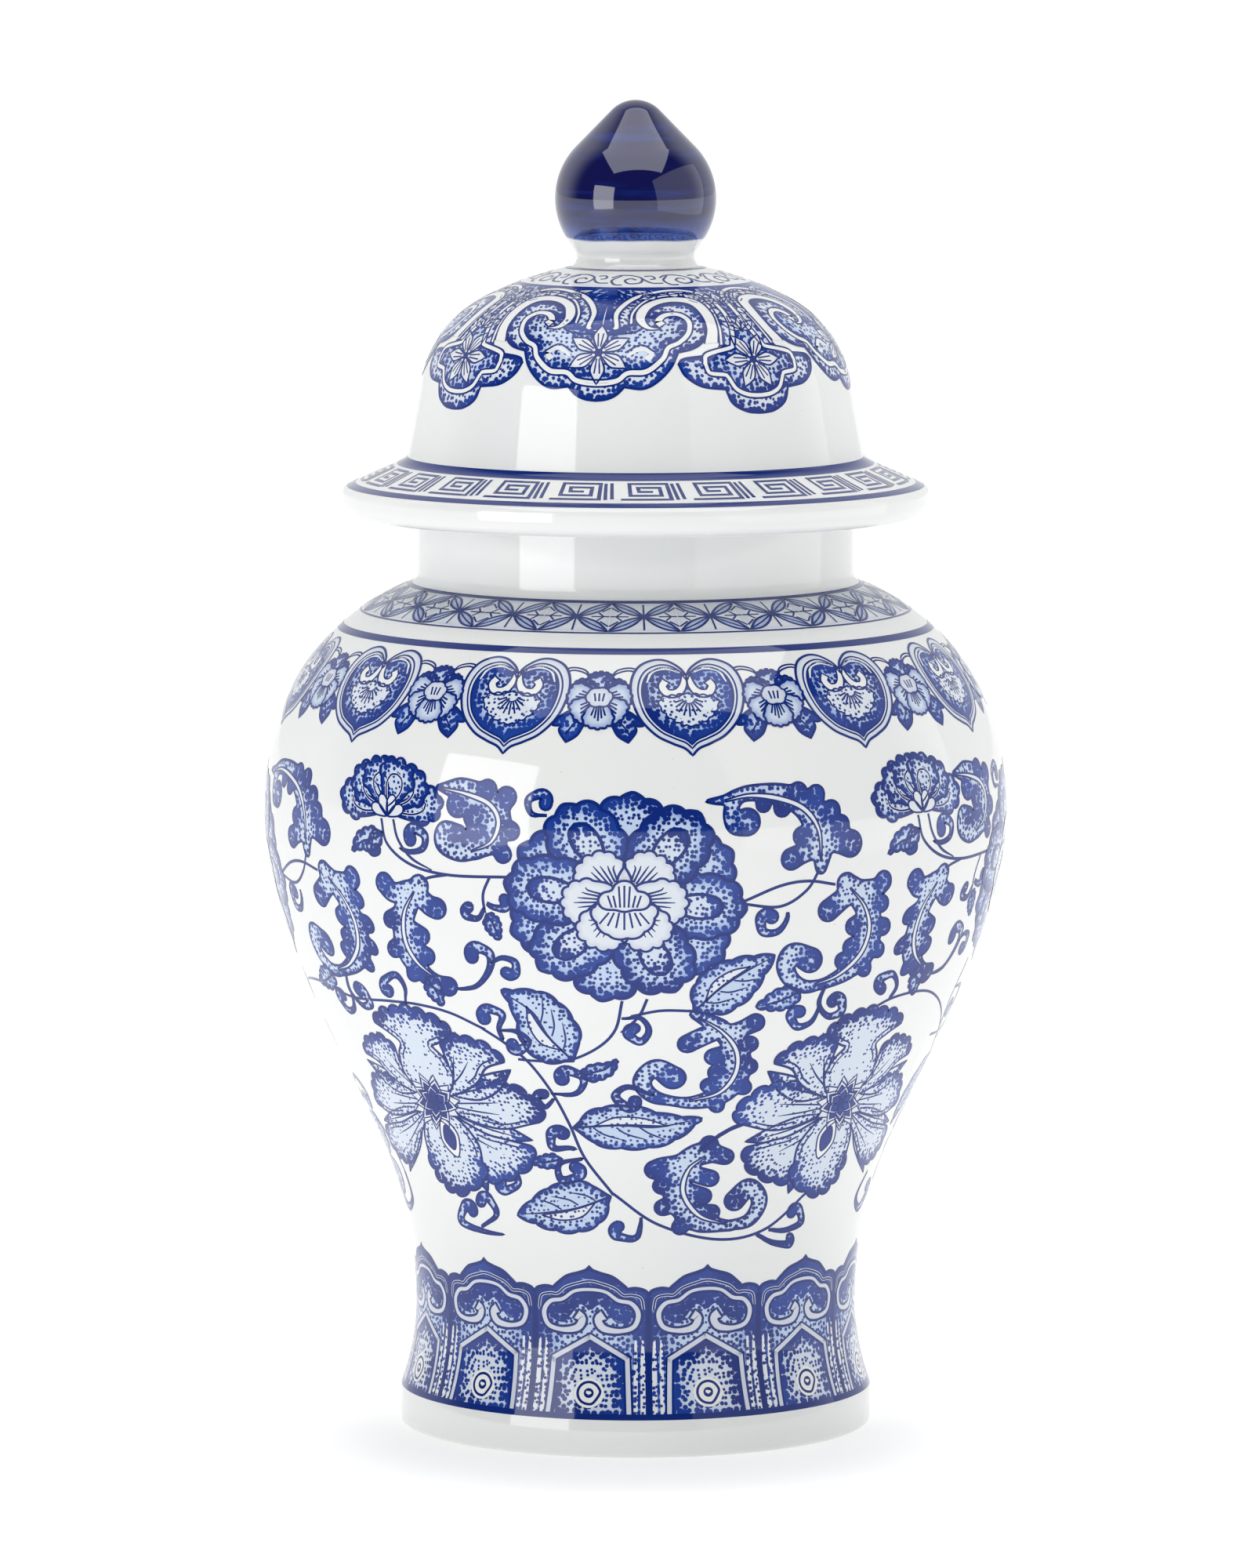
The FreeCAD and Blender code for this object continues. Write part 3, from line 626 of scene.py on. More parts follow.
def inside_of(points, outline):
    """Which points lie inside a closed outline."""
    x, y = points[:, 0][:, None], points[:, 1][:, None]
    x1, y1 = outline[:, 0][None], outline[:, 1][None]
    after = np.roll(outline, -1, 0)
    x2, y2 = after[:, 0][None], after[:, 1][None]
    spans = (y1 > y) != (y2 > y)
    cut = x1 + (y - y1) / np.where(y2 == y1, 1e-9, y2 - y1) * (x2 - x1)
    return (spans & (x < cut)).sum(1) % 2 == 1


UNION_MARGIN, FAR_AWAY = 1.3, 50.0


def soft_union(strokes, soft=0.45):
    """The outline round tapered strokes that flow into each other with small fillets.

    Each stroke is a curve through points, each with the stroke's radius there.
    """
    discs = []
    for stroke in strokes:
        stroke = np.array(stroke, float)
        line = smooth(stroke[:, :2], step=UNION_STEP)
        discs.append(np.column_stack([line, profile(stroke[:, 2], len(line))]))
    every = np.vstack(discs)
    low = (every[:, :2] - every[:, 2:]).min(0) - UNION_MARGIN
    high = (every[:, :2] + every[:, 2:]).max(0) + UNION_MARGIN
    xs, ys = (np.arange(low[k], high[k], UNION_STEP) for k in (0, 1))
    grid_x, grid_y = np.meshgrid(xs, ys)
    field = np.full(grid_x.shape, FAR_AWAY)
    for disc in discs:
        gap = np.hypot(grid_x[..., None] - disc[:, 0], grid_y[..., None] - disc[:, 1])
        stroke = (gap - disc[:, 2]).min(-1)
        close = np.maximum(soft - np.abs(field - stroke), 0) / soft
        field = np.minimum(field, stroke) - close ** 2 * soft / 4
    return contour(xs, ys, field)


def contour(xs, ys, field):
    """The longest closed line on which a field of heights is zero."""
    inside = field < 0
    mixed = inside[:-1, :-1].astype(int) + inside[1:, 1:] + inside[:-1, 1:] + inside[1:, :-1]
    links = {}
    for row, column in zip(*np.nonzero((mixed > 0) & (mixed < 4))):
        corners = [(row, column), (row, column + 1), (row + 1, column + 1), (row + 1, column)]
        crossed = [(min(a, b), max(a, b)) for a, b in zip(corners, corners[1:] + corners[:1])
                   if inside[a] != inside[b]]
        for first, second in zip(crossed[::2], crossed[1::2]):
            links.setdefault(first, []).append(second)
            links.setdefault(second, []).append(first)
    loops = []
    while links:
        spot = next(iter(links))
        loop = []
        while spot in links:
            loop.append(spot)
            onward = links.pop(spot)
            spot = next((other for other in onward if other in links), None)
        loops.append(loop)
    points = []
    for first, second in max(loops, key=len):
        share = field[first] / (field[first] - field[second])
        start = np.array([xs[first[1]], ys[first[0]]])
        end = np.array([xs[second[1]], ys[second[0]]])
        points.append(start + (end - start) * share)
    line = np.array(points)
    line = 0.5 * line + 0.25 * (np.roll(line, 1, 0) + np.roll(line, -1, 0))
    return line[::2] if len(line) > 24 else line


# The points inside a filled shape: a rim just within its outline, and rows clear of that.
RIM_DEPTH, RIM_CLEAR, PLAIN_CLEAR = 0.7, 0.63, 0.5
INNER_SPACING, ROW_SHARE, FIRST_ROW = 1.4, 0.87, 0.6
# How the distance to the dark parts is kept in the paint, and how far dark points reach.
DEPTH_SCALE, DARK_SHARE = 0.25, 0.65
# The widths of the drawn lines.
FINE, LINE, BOLD, STEM, TWIG_TIP = 0.44, 0.6, 0.8, 0.7, 0.3


class Drawing:
    """Painted shapes, in plane millimetres, to be laid on a face of the jar or the lid."""

    def __init__(self):
        self.shapes = []

    def keep(self, points, faces, layer, solid, paint=None):
        """Adds one shape, with all its faces turned the same way."""
        points, faces = np.array(points, float), np.array(faces, int)
        first, second, third = (points[faces[:, k]] for k in (0, 1, 2))
        (x, y), (u, v) = (second - first).T, (third - first).T
        turned = x * v < y * u
        faces[turned] = faces[turned][:, ::-1]
        self.shapes.append((points, faces, layer, solid, paint))

    def fill(self, outline, wash=1.0, ink=0.0, stipple=1.0, layer=0, edge=0.0, fade=1.0,
             dark=None):
        """A closed shape: pale wash, with stipple that thickens towards its outline.

        A positive edge thins the stipple all over, a small fade keeps it thick further
        in, and the stipple is also thick near the dark points.
        """
        outline = np.asarray(outline, float)
        low, high = outline.min(0), outline.max(0)
        rows = np.arange(low[1] + FIRST_ROW, high[1], INNER_SPACING * ROW_SHARE)
        columns = np.arange(low[0] + FIRST_ROW, high[0], INNER_SPACING)
        grid_x, grid_y = np.meshgrid(columns, rows)
        grid_x = grid_x + (np.arange(len(rows)) % 2)[:, None] * INNER_SPACING / 2
        inner = np.stack([grid_x.ravel(), grid_y.ravel()], 1)
        shaded = ink < 1 and stipple > 0
        if shaded:
            across = normals_of(outline, True) * RIM_DEPTH
            inner = np.vstack([outline + across, outline - across, inner])
        if len(inner):
            inner = inner[inside_of(inner, outline)]
        if len(inner):
            clear = RIM_CLEAR if shaded else PLAIN_CLEAR
            inner = inner[distance_to(inner, outline) > clear]
        size = len(outline)
        corners = [Vector(point) for point in np.vstack([outline, inner])]
        borders = [(k, (k + 1) % size) for k in range(size)]
        places, _, faces, _, _, _ = geometry.delaunay_2d_cdt(
            corners, borders, [list(range(size))], 1, 1e-4)
        places = np.array([(point.x, point.y) for point in places])
        paint = np.zeros((len(places), 4))
        paint[:, 0], paint[:, 1], paint[:, 3] = ink, wash, stipple
        depth = distance_to(places, outline) * fade + edge
        if dark is not None:
            depth = np.minimum(depth, nearest_of(places, dark) * DARK_SHARE)
        paint[:, 2] = depth * DEPTH_SCALE
        self.keep(places, [face for face in faces if len(face) == 3], layer, False, paint)

    def strip(self, left, right, layer, solid, closed=False, paint=None):
        """The area between two lines that run side by side."""
        size = len(left)
        faces = []
        for k in range(size if closed else size - 1):
            after = (k + 1) % size
            faces.append((k, after, size + after, size + k))
        self.keep(np.vstack([left, right]), faces, layer, solid, paint)

    def line(self, points, width=LINE, layer=3, closed=False, ends=None):
        """A dark line along a curve. The ends may have widths of their own."""
        widths = [width] if ends is None else [ends[0], width, width, ends[1]]
        left, right = sides(points, widths, closed)
        self.strip(left, right, layer, True, closed)

    def straight(self, start, end, width=LINE, layer=3):
        """A dark straight line, as short pieces that can follow a round face."""
        length = math.hypot(end[0] - start[0], end[1] - start[1])
        count = max(2, int(length / STRAIGHT_STEP) + 2)
        line = np.linspace(start, end, count)
        half = normals_of(line) * width / 2
        self.strip(line + half, line - half, layer, True)

    def outline(self, points, width=LINE, layer=3, closed=True):
        """A dark line round a shape whose points already lie close together."""
        half = normals_of(points, closed) * width / 2
        self.strip(points + half, points - half, layer, True, closed)

    def pale(self, points, width=1.0, layer=2, wash=0.0, closed=False, ends=None, dots=0.0):
        """A white or pale stroke along a curve, bare or sprinkled with dots."""
        widths = [width] if ends is None else [ends[0], width, width, ends[1]]
        left, right = sides(points, widths, closed)
        paint = np.tile([0, wash, 1 - dots, float(dots > 0)], (2 * len(left), 1))
        self.strip(left, right, layer, False, closed, paint)

    def dot(self, centre, radius, layer=3):
        """A dark round dot."""
        ring = np.array(arc(centre, radius, 0, TURN * 11 / 12, radius * 0.5)[:12])
        faces = [(0, k, k + 1) for k in range(1, len(ring) - 1)]
        self.keep(ring, faces, layer, True)

    def shape(self, outline, width=LINE, layer=0, **look):
        """A filled shape with a dark outline one layer above it."""
        self.fill(outline, layer=layer, **look)
        self.outline(np.asarray(outline, float), width, layer + 1)

    def flat(self, outline, wash, width=LINE, layer=0):
        """A shape of plain wash with a dark outline."""
        self.shape(outline, width, layer, wash=wash, stipple=0.0)

    def band(self, left, right, layer, wash=0.0):
        """The bare or pale area between two lines that run side by side."""
        paint = np.tile([0, wash, 0, 0], (2 * len(left), 1))
        self.strip(left, right, layer, False, False, paint)

    def ribbon(self, points, widths, layer, wash=0.0, width=FINE):
        """A bare or pale stroke of changing width with a dark line round it."""
        left, right = sides(points, widths)
        self.band(left, right, layer, wash)
        self.outline(np.vstack([left, right[::-1]]), width, layer + 1)

    def lean(self, share):
        """Slides what lies below zero sideways, the more the lower it lies."""
        for points, *_ in self.shapes:
            points[:, 0] += np.maximum(0, -points[:, 1]) * share
        return self

    def add(self, other, move=(0, 0), turn=0.0, scale=1.0, mirror=False, lift=0):
        """Copies another drawing into this one."""
        angle = math.radians(turn)
        spin = np.array([[math.cos(angle), math.sin(angle)],
                         [-math.sin(angle), math.cos(angle)]])
        for points, faces, layer, solid, paint in other.shapes:
            place = points * (-1, 1) if mirror else points
            place = place @ spin * scale + np.array(move, float)
            self.keep(place, faces, layer + lift, solid, paint)
        return self


# How far the paint stands off the glaze, and each of its layers off the one below.
PAINT_LIFT, BELLY_LAYER, SHOULDER_LAYER, BORDER_LAYER = 0.02, 0.008, 0.010, 0.012


def paint_piece(name, placed, surface, layer_lift=BELLY_LAYER, steady=None):
    """Lays drawings on a face as thin painted pieces that ride on its body.

    Each drawing comes with the angle in degrees and the place along the outline of its
    own zero point. Lines and shaded areas become one piece each.
    """
    for kind, solid, material in (("lines", True, inked), ("shades", False, painting)):
        places, normals, paints, spots, faces = [], [], [], [], []
        count = 0
        for drawing, angle, along in placed:
            for points, corners, layer, is_solid, paint in drawing.shapes:
                if is_solid != solid:
                    continue
                lift = PAINT_LIFT + layer_lift * layer
                place, normal = surface.lay(points, math.radians(angle), along, lift, steady)
                places.append(place)
                normals.append(normal)
                paints.append(paint)
                spots.append(points)
                faces.extend((corners + count).tolist())
                count += len(points)
        if not places:
            continue
        mesh = bpy.data.meshes.new(name + "_" + kind)
        mesh.from_pydata(np.vstack(places).tolist(), [], faces)
        if not solid:
            attribute = mesh.color_attributes.new("paint", "FLOAT_COLOR", "POINT")
            colours = np.clip(np.vstack(paints), 0, 1).astype(np.float32)
            attribute.data.foreach_set("color", colours.ravel())
            attribute = mesh.attributes.new("spot", "FLOAT_VECTOR", "POINT")
            flat = np.vstack(spots)
            flat = np.column_stack([flat, np.zeros(len(flat))]).astype(np.float32)
            attribute.data.foreach_set("vector", flat.ravel())
        mesh.shade_smooth()
        mesh.normals_split_custom_set_from_vertices(np.vstack(normals).tolist())
        link(name + "_" + kind, mesh, surface.body, material)


# ---------------------------------------------------------------- small motifs
def grown(base, tip):
    """Where a motif drawn upwards from zero goes so that it grows from base to tip."""
    turn = math.degrees(math.atan2(base[0] - tip[0], tip[1] - base[1]))
    return {"move": base, "turn": turn}


def mitred(points, width):
    """The two edges of a stroke with square corners."""
    points = np.array(points, float)
    ahead = np.diff(points, axis=0)
    ahead /= np.hypot(*ahead.T)[:, None]
    ahead = np.vstack([ahead, ahead[-1]])
    behind = np.vstack([ahead[:1], ahead[:-1]])
    middle = ahead + behind
    middle /= np.hypot(*middle.T)[:, None]
    half = np.stack([-middle[:, 1], middle[:, 0]], 1) * width / 2
    half /= np.maximum((middle * ahead).sum(1), 0.3)[:, None]
    left, right = [], []
    for k in range(len(points) - 1):
        count = max(2, int(np.hypot(*(points[k + 1] - points[k])) / STRAIGHT_STEP) + 2)
        share = np.linspace(0, 1, count)[:, None]
        left.append((points[k] + half[k]) * (1 - share) + (points[k + 1] + half[k + 1]) * share)
        right.append((points[k] - half[k]) * (1 - share) + (points[k + 1] - half[k + 1]) * share)
    return np.vstack(left), np.vstack(right)


def mirrored(points):
    """The same points on the other side of the middle, in the opposite order."""
    return [(-x, y) for x, y in reversed(points)]


def both_ways(points):
    """A line that runs through its points and on through their mirror images."""
    own = list(points)
    other = mirrored(own)
    return own + (other[1:] if own[-1][0] == 0 else other)


def facing(side, points):
    """The same points, for the right side, 1, or for the left side, -1."""
    return [(side * x, y) for x, y in points]


def twofold(half):
    """A closed outline made of one flank and its mirror image."""
    return joined(half, mirrored(half))


def veined_flower(radius, count, layer=4, turn=0.0):
    """A small open flower of pale pointed petals with fine veins round a dotted middle."""
    art = Drawing()
    petal = Drawing()
    half = radius * math.pi / count * 0.40
    petal.flat(twofold([(0, 0), (-half, radius * 0.5), (-half * 0.7, radius * 0.76),
                        (0, radius)]), 0.15, FINE, layer)
    for lean in (-0.3, 0.3):
        petal.line([(lean * half * 0.6, radius * 0.2), (lean * half * 1.3, radius * 0.68)],
                   FINE * 0.8, layer + 1)
    for k in range(count):
        art.add(petal, turn=turn + 360 * k / count)
    art.dot((0, 0), radius * 0.13, layer + 2)
    return art


# ---------------------------------------------------------------- foot border
FOOT_PANELS, FOOT_LEVEL, FOOT_TURN = 12, 24.0, -11.7


def foot_panel():
    """One lappet: an ogee arch over a cloud scroll and a pointed tab with a ringed dot."""
    art = Drawing()
    half, sole, eye = 13.45, -15.7, (0, -9.6)
    arch = [(-half, 12.6), (-12.6, 13.9), (-10.5, 14.5), (-8.6, 14.3), (-7.4, 15.4),
            (-5.2, 17.1), (-2.4, 18.0), (-0.6, 18.7), (0, 19.5)]
    left = np.vstack([smooth(arch[:4])[:-1], smooth(arch[3:])])
    arch = np.vstack([left, (left * (-1, 1))[::-1][1:]])
    down = [(half, v) for v in np.arange(11, -16, -1.2)] + [(half, sole)]
    across = [(u, sole) for u in np.arange(half, -half, -1.4)][1:]
    up = [(-half, v) for v in np.arange(sole, 12, 1.2)]
    art.fill(np.vstack([arch, down, across, up]), fade=0.2)
    art.outline(arch, BOLD, 1, closed=False)
    for side in (-1, 1):
        art.straight((side * half, 12.4), (side * half, sole), 1.2, 1)
        for place, width in ((12.0, 1.1), (10.4, 0.9)):
            art.pale(facing(side, [(place, 2.5), (place, -6), (place, -15)]), width, 1, 0.2,
                     ends=(0.5, width), dots=0.55)
    inner = both_ways([(-12.2, 9.5), (-11.6, 12.2), (-9.4, 12.9), (-7.6, 12.9), (-5.6, 14.5),
                       (-2.5, 15.6), (0, 16.1)])
    art.pale(inner, 0.7, 1, 0.3)
    art.line(inner, FINE, 2)
    scroll = both_ways([(-3.3, 8.4), (-1.9, 7.2), (-3.0, 5.2), (-6.6, 4.6), (-10.0, 5.6),
                        (-11.0, 8.6), (-9.4, 11.0), (-6.4, 11.7), (-3.6, 13.6), (0, 14.1)])
    widths = [2.6, 2.3, 1.9, 1.5, 1.6, 1.7, 1.5, 1.4, 1.3, 1.3]
    art.ribbon(scroll, widths + widths[::-1], 2, 0.3, LINE)
    field = both_ways([(-3.6, 9.2), (-6.2, 6.4), (-8.8, 7.0), (-9.8, 8.8), (-8.8, 10.0),
                       (-5.8, 10.8), (-3.2, 12.7), (0, 13.2)])
    field = joined(field, [field[-1], (2.2, 10.6), (0, 9.4), (-2.2, 10.6), field[0]])
    art.fill(field, wash=0.9, layer=1, fade=0.42)
    left, right = mitred([(-9.0, -15.6), (-8.5, -1.8), (0, 3.2), (8.5, -1.8), (9.0, -15.6)],
                         1.45)
    field = np.vstack([right, [(u, -15.6) for u in np.arange(8, -8.5, -1.3)]])
    art.fill(field, wash=0.55, layer=1, fade=0.38)
    art.band(left, right, 2, 0.3)
    for flank in (left, right):
        art.outline(flank, FINE, 3, closed=False)
    art.fill(np.array(arc(eye, 3.4, 0, TURN, 0.6)[:-1]), wash=0.0, stipple=0.0, layer=2)
    art.line(arc(eye, 2.5, 0, TURN * 0.9, 1.2)[:-1], closed=True)
    art.dot(eye, 1.15)
    art.straight((-half, -15.0), (half, -15.0), 1.4)
    return art


# ---------------------------------------------------------------- shoulder border
SHOULDER_LEVEL, SHOULDER_TURN, NECK_TURN, NECK_MIDDLE = 175.0, 8.9, 1.8, 25.0
# The rings at the neck: each one's level above the shoulder's zero line, and its width.
NECK_RINGS = ((13.0, 1.9), (18.9, 0.5), (31.6, 1.3))


def heart_line(inset):
    """The heart's outline, this far inside its outer line."""
    shrink = 1 - inset / 12.0
    half = [(0, 6.0), (1.3, 8.2), (4.0, 10.2), (7.0, 10.4), (10.3, 8.6), (12.3, 5.0),
            (12.7, 0.5), (11.3, -4.6), (8.0, -8.6), (4.4, -10.6), (1.6, -11.8)]
    half = [(x * shrink, (y + 0.5) * shrink - 0.5 - inset * 0.06) for x, y in half]
    return twofold(half + [(0, (-13.4 + 0.5) * shrink - 0.5)])


def heart():
    """A heart-shaped cloud head: double line, stippled field, two white curls and a fan."""
    art = Drawing()
    art.flat(heart_line(0), 0.35, LINE, 2)
    art.outline(heart_line(1.5), FINE, 3)
    art.shape(heart_line(2.3), FINE, 3, wash=0.95, fade=0.38)
    for side in (-1, 1):
        art.ribbon(facing(side, [(0.5, 6.2), (1.0, 3.4), (2.4, 1.6), (4.6, 1.5), (5.6, 3.2),
                                 (4.7, 4.7)]), [0.9, 1.6, 2.0, 2.0, 2.0, 1.8], 4)
        art.pale(facing(side, [(1.4, 6.8), (4.2, 8.0), (7.4, 7.2), (9.0, 4.2)]), 0.7, 4, 0.2,
                 ends=(0.4, 0.3))
    fan = lobed(smooth([(-6.2, -0.2), (-5.6, -3.0), (-2.8, -5.4), (0, -6.2), (2.8, -5.4),
                        (5.6, -3.0), (6.2, -0.2), (3.0, 0.6), (0, 0.9), (-3.0, 0.6)], True),
                18, 0.55)
    art.shape(fan, FINE, 4, wash=0.45, edge=1.5)
    for k in range(9):
        turn = math.radians(-160 + 17.5 * k)
        reach = 3.4 + 1.3 * math.sin(math.pi * k / 8)
        art.line([polar((0, 0.3), 1.3, turn), polar((0, 0.3), reach, turn)], FINE, 5)
    return art


def shoulder_flower():
    """The small flower with two hanging leaves that stands between two hearts."""
    art = Drawing()
    for side in (-1, 1):
        for bend in (0, 1.3):
            art.line(facing(side, [(9.6, 5.4 + bend), (6.6, 7.4 + bend * 0.6),
                                   (3.4, 6.6 + bend * 0.6), (2.2, 4.6)]), FINE, 1)
        edge = joined(*(facing(side, curve) for curve in (
            [(1.5, -3.4), (6.4, -3.0), (10.2, -6.2), (8.4, -6.6)],
            [(8.4, -6.6), (8.6, -8.0), (7.0, -10.4)],
            [(7.0, -10.4), (4.6, -8.8), (3.2, -6.4), (1.5, -3.4)])))
        art.shape(edge, fade=0.6)
        art.line(facing(side, [(2.4, -4.2), (5.2, -6.0), (7.2, -8.6)]), FINE, 1)
    behind = Drawing()
    half = [(0, 0), (-2.7, 3.2), (-2.2, 6.0), (0, 6.8)]
    behind.shape(lobed(twofold(half), 9, 0.5, 0.2, 0.8), LINE, 2, wash=0.8, fade=0.6)
    for turn in (-62, 62, 0):
        art.add(behind, turn=turn)
    front = Drawing()
    half = [(0, 0), (-2.9, 2.8), (-2.8, 6.0), (0, 7.0)]
    front.flat(lobed(twofold(half), 7, 0.45, 0.25, 0.75), 0.75, LINE, 4)
    for lean in (-1.6, -0.8, 0, 0.8, 1.6):
        front.line([(lean * 0.4, 1.2), (lean, 5.4 - abs(lean) * 0.8)], FINE, 5)
    for number, turn in enumerate((84, -84, 132, -132, 180)):
        art.add(front, turn=turn, lift=2 * (number // 2))
    middle = smooth([(-2.2, -1.0), (-2.5, 1.4), (0, 2.6), (2.5, 1.4), (2.2, -1.0), (0, -1.7)],
                    True)
    art.flat(lobed(middle, 6, 0.4), 0.4, FINE, 10)
    for lean in (-1.1, 0, 1.1):
        art.line([(lean * 0.7, -0.6), (lean, 1.4)], FINE, 11)
    return art


def neck_diaper():
    """One crossing of long leaves, with short strokes and twigs between."""
    art = Drawing()
    middle, low, high, half = 25.0, 19.5, 30.7, 7.5
    ground = [(-half, low), (half, low), (half, high), (-half, high)]
    art.fill(np.vstack([np.linspace(start, end, 9)[:-1]
                        for start, end in zip(ground, ground[1:] + ground[:1])]),
             wash=0.3, stipple=0.0, layer=-1)
    for side in (-1, 1):
        for rise in (low - middle, high - middle):
            above, below, rib = (
                facing(side, [(half * out, middle + rise * up) for out, up in shares])
                for shares in (((0, 0), (0.30, 0.56), (0.64, 0.90), (1, 1)),
                               ((1, 1), (0.72, 0.46), (0.38, 0.16), (0, 0)),
                               ((0.8 / half, 0.1), (0.5, 0.52), (0.92, 0.9))))
            art.flat(joined(above, below), 0.7)
            art.line(rib, FINE, 2)
        for stroke in (((7.5, 0), (3.4, 0)), ((6.2, 0), (4.9, 1.6)), ((6.2, 0), (4.9, -1.6)),
                       ((7.5, 3.8), (5.6, 1.9)), ((7.5, -3.8), (5.6, -1.9))):
            art.line(facing(side, [(x, middle + y) for x, y in stroke]), FINE, 2)
    art.line([(0, low + 0.4), (0, high - 0.4)], FINE, 2)
    art.dot((0, middle), 0.8, 2)
    art.line([(-half, high + 0.6), (0, high + 0.6), (half, high + 0.6)], LINE, 2)
    return art


def ring_part(level, half, width):
    """A stretch of a plain dark ring."""
    art = Drawing()
    art.straight((-half, level), (half, level), width, 2)
    return art


# ---------------------------------------------------------------- lid border
LID_LEVEL, LID_UNITS, CLOUD_TURN, PENDANT_TURN = 248.0, 4, -10.5, 34.5
RING_V = 26.3
# The rings on the lid: each one's name, radius and width.
LID_RINGS = (("lid_ring_line", 31.0, 0.7), ("lid_ring_line_b", 29.6, 0.4),
             ("lid_foot_line", 15.6, 1.2), ("lid_joint_line", 53.4, 3.0),
             ("lid_brim_line", 65.3, 2.1))
# The inner and outer lines of a cloud's spiral, from its middle.
LOOP_INNER = [(6.8, 9.5), (6.6, 14.5), (8.8, 19.4), (13.2, 21.5), (18.6, 21.0), (23.2, 16.4),
              (26.7, 9.0), (27.8, 4.2), (26.4, 1.6)]
LOOP_OUTER = [(3.8, 8.5), (3.4, 14.0), (6.2, 20.0), (11.0, 23.2), (16.0, 23.7), (21.6, 21.0),
              (26.5, 15.0), (29.6, 9.0), (30.3, 4.0), (28.8, 0.2)]


def lid_radius(rise):
    """The lid's radius at a distance above its decoration's zero line."""
    return lid_face.radius_at(lid_face.at_height(LID_LEVEL) - rise)


def from_cloud(points):
    """Points seen from a cloud's middle, as seen from the pendant on its right."""
    return [(u - math.pi / LID_UNITS * lid_radius(v), v) for u, v in points]


def pendant_edge(flank, lobes):
    """A closed outline that hangs from the top ring and ends in lobes."""
    half = lid_radius(RING_V) * math.pi / LID_UNITS
    top = np.stack([np.linspace(half, -half, 30)[1:-1], np.full(28, RING_V)], 1)
    curves = [from_cloud([(0, RING_V), (0, 18), (0, 9)]), from_cloud([(0, 9)] + flank), *lobes]
    left = joined(*curves)
    return np.vstack([left, (left * (-1, 1))[::-1], top])


def loop_of(edge, clear):
    """Which points of a pendant's edge keep clear of the ring and of the cloud's middle."""
    middle = np.array([math.pi / LID_UNITS * lid_radius(v) for v in edge[:, 1]])
    return (edge[:, 1] < RING_V - 0.4) & (np.abs(edge[:, 0]) < middle - clear)


def lid_pendant():
    """The ground between two clouds: it hangs from the ring and ends in five lobes."""
    art = Drawing()
    outer = pendant_edge(LOOP_INNER, [
        [from_cloud(LOOP_INNER)[-1], (-16.8, 0.8), (-18.6, -0.6)],
        [(-18.6, -0.6), (-17.6, -3.4), (-14.2, -5.8), (-8.6, -6.6)],
        [(-8.6, -6.6), (-7.2, -9.8), (-3.8, -11.7), (0, -12.2)]])
    inner = pendant_edge(LOOP_OUTER[:-1], [
        [from_cloud(LOOP_OUTER)[-2], (-11.6, 2.2), (-13.0, -0.4)],
        [(-13.0, -0.4), (-12.2, -3.2), (-8.2, -3.9)],
        [(-8.2, -3.9), (-6.4, -7.0), (-3.4, -8.5), (0, -8.9)]])
    art.fill(outer, wash=0.5, fade=0.7)
    art.outline(outer[loop_of(outer, 5.5)], LINE, 1, closed=False)
    art.fill(inner, wash=0.8, layer=2, fade=0.36)
    rim = inner[loop_of(inner, 3.2)]
    across = normals_of(rim)
    art.band(rim + across * 1.25, rim, 3)
    art.outline(rim, FINE, 4, closed=False)
    art.outline(rim + across * 1.3, FINE, 4, closed=False)
    art.add(veined_flower(7.4, 6, 4, 30), (0, 0.2))
    leaflet = Drawing()
    leaflet.flat(twofold([(0, 0), (-1.5, 2.4), (-0.9, 4.8), (0, 6.2)]), 0.25, FINE, 4)
    leaflet.line([(0, 0.8), (0, 4.2)], FINE, 5)
    for base, turns in (((0, 8.0), (-58, -20, 20, 58)), ((-5.5, 18.0), (-70, -25, 20)),
                        ((5.5, 18.0), (70, 25, -20)), ((0, 17.5), (0, 50, -50)),
                        ((-13.5, 22.0), (60, 110)), ((13.5, 22.0), (-60, -110))):
        for turn in turns:
            art.add(leaflet, base, turn, 0.8)
    for side in (-1, 1):
        for x, y in ((3.6, 14.6), (9.6, 22.3), (3.0, 22.6)):
            ring = [(side * x + 1.3 * right, y + 1.3 * up)
                    for right, up in ((1, 0), (0, 1), (-1, 0), (0, -1))]
            art.flat(smooth(ring, True), 0.2, FINE, 4)
    return art


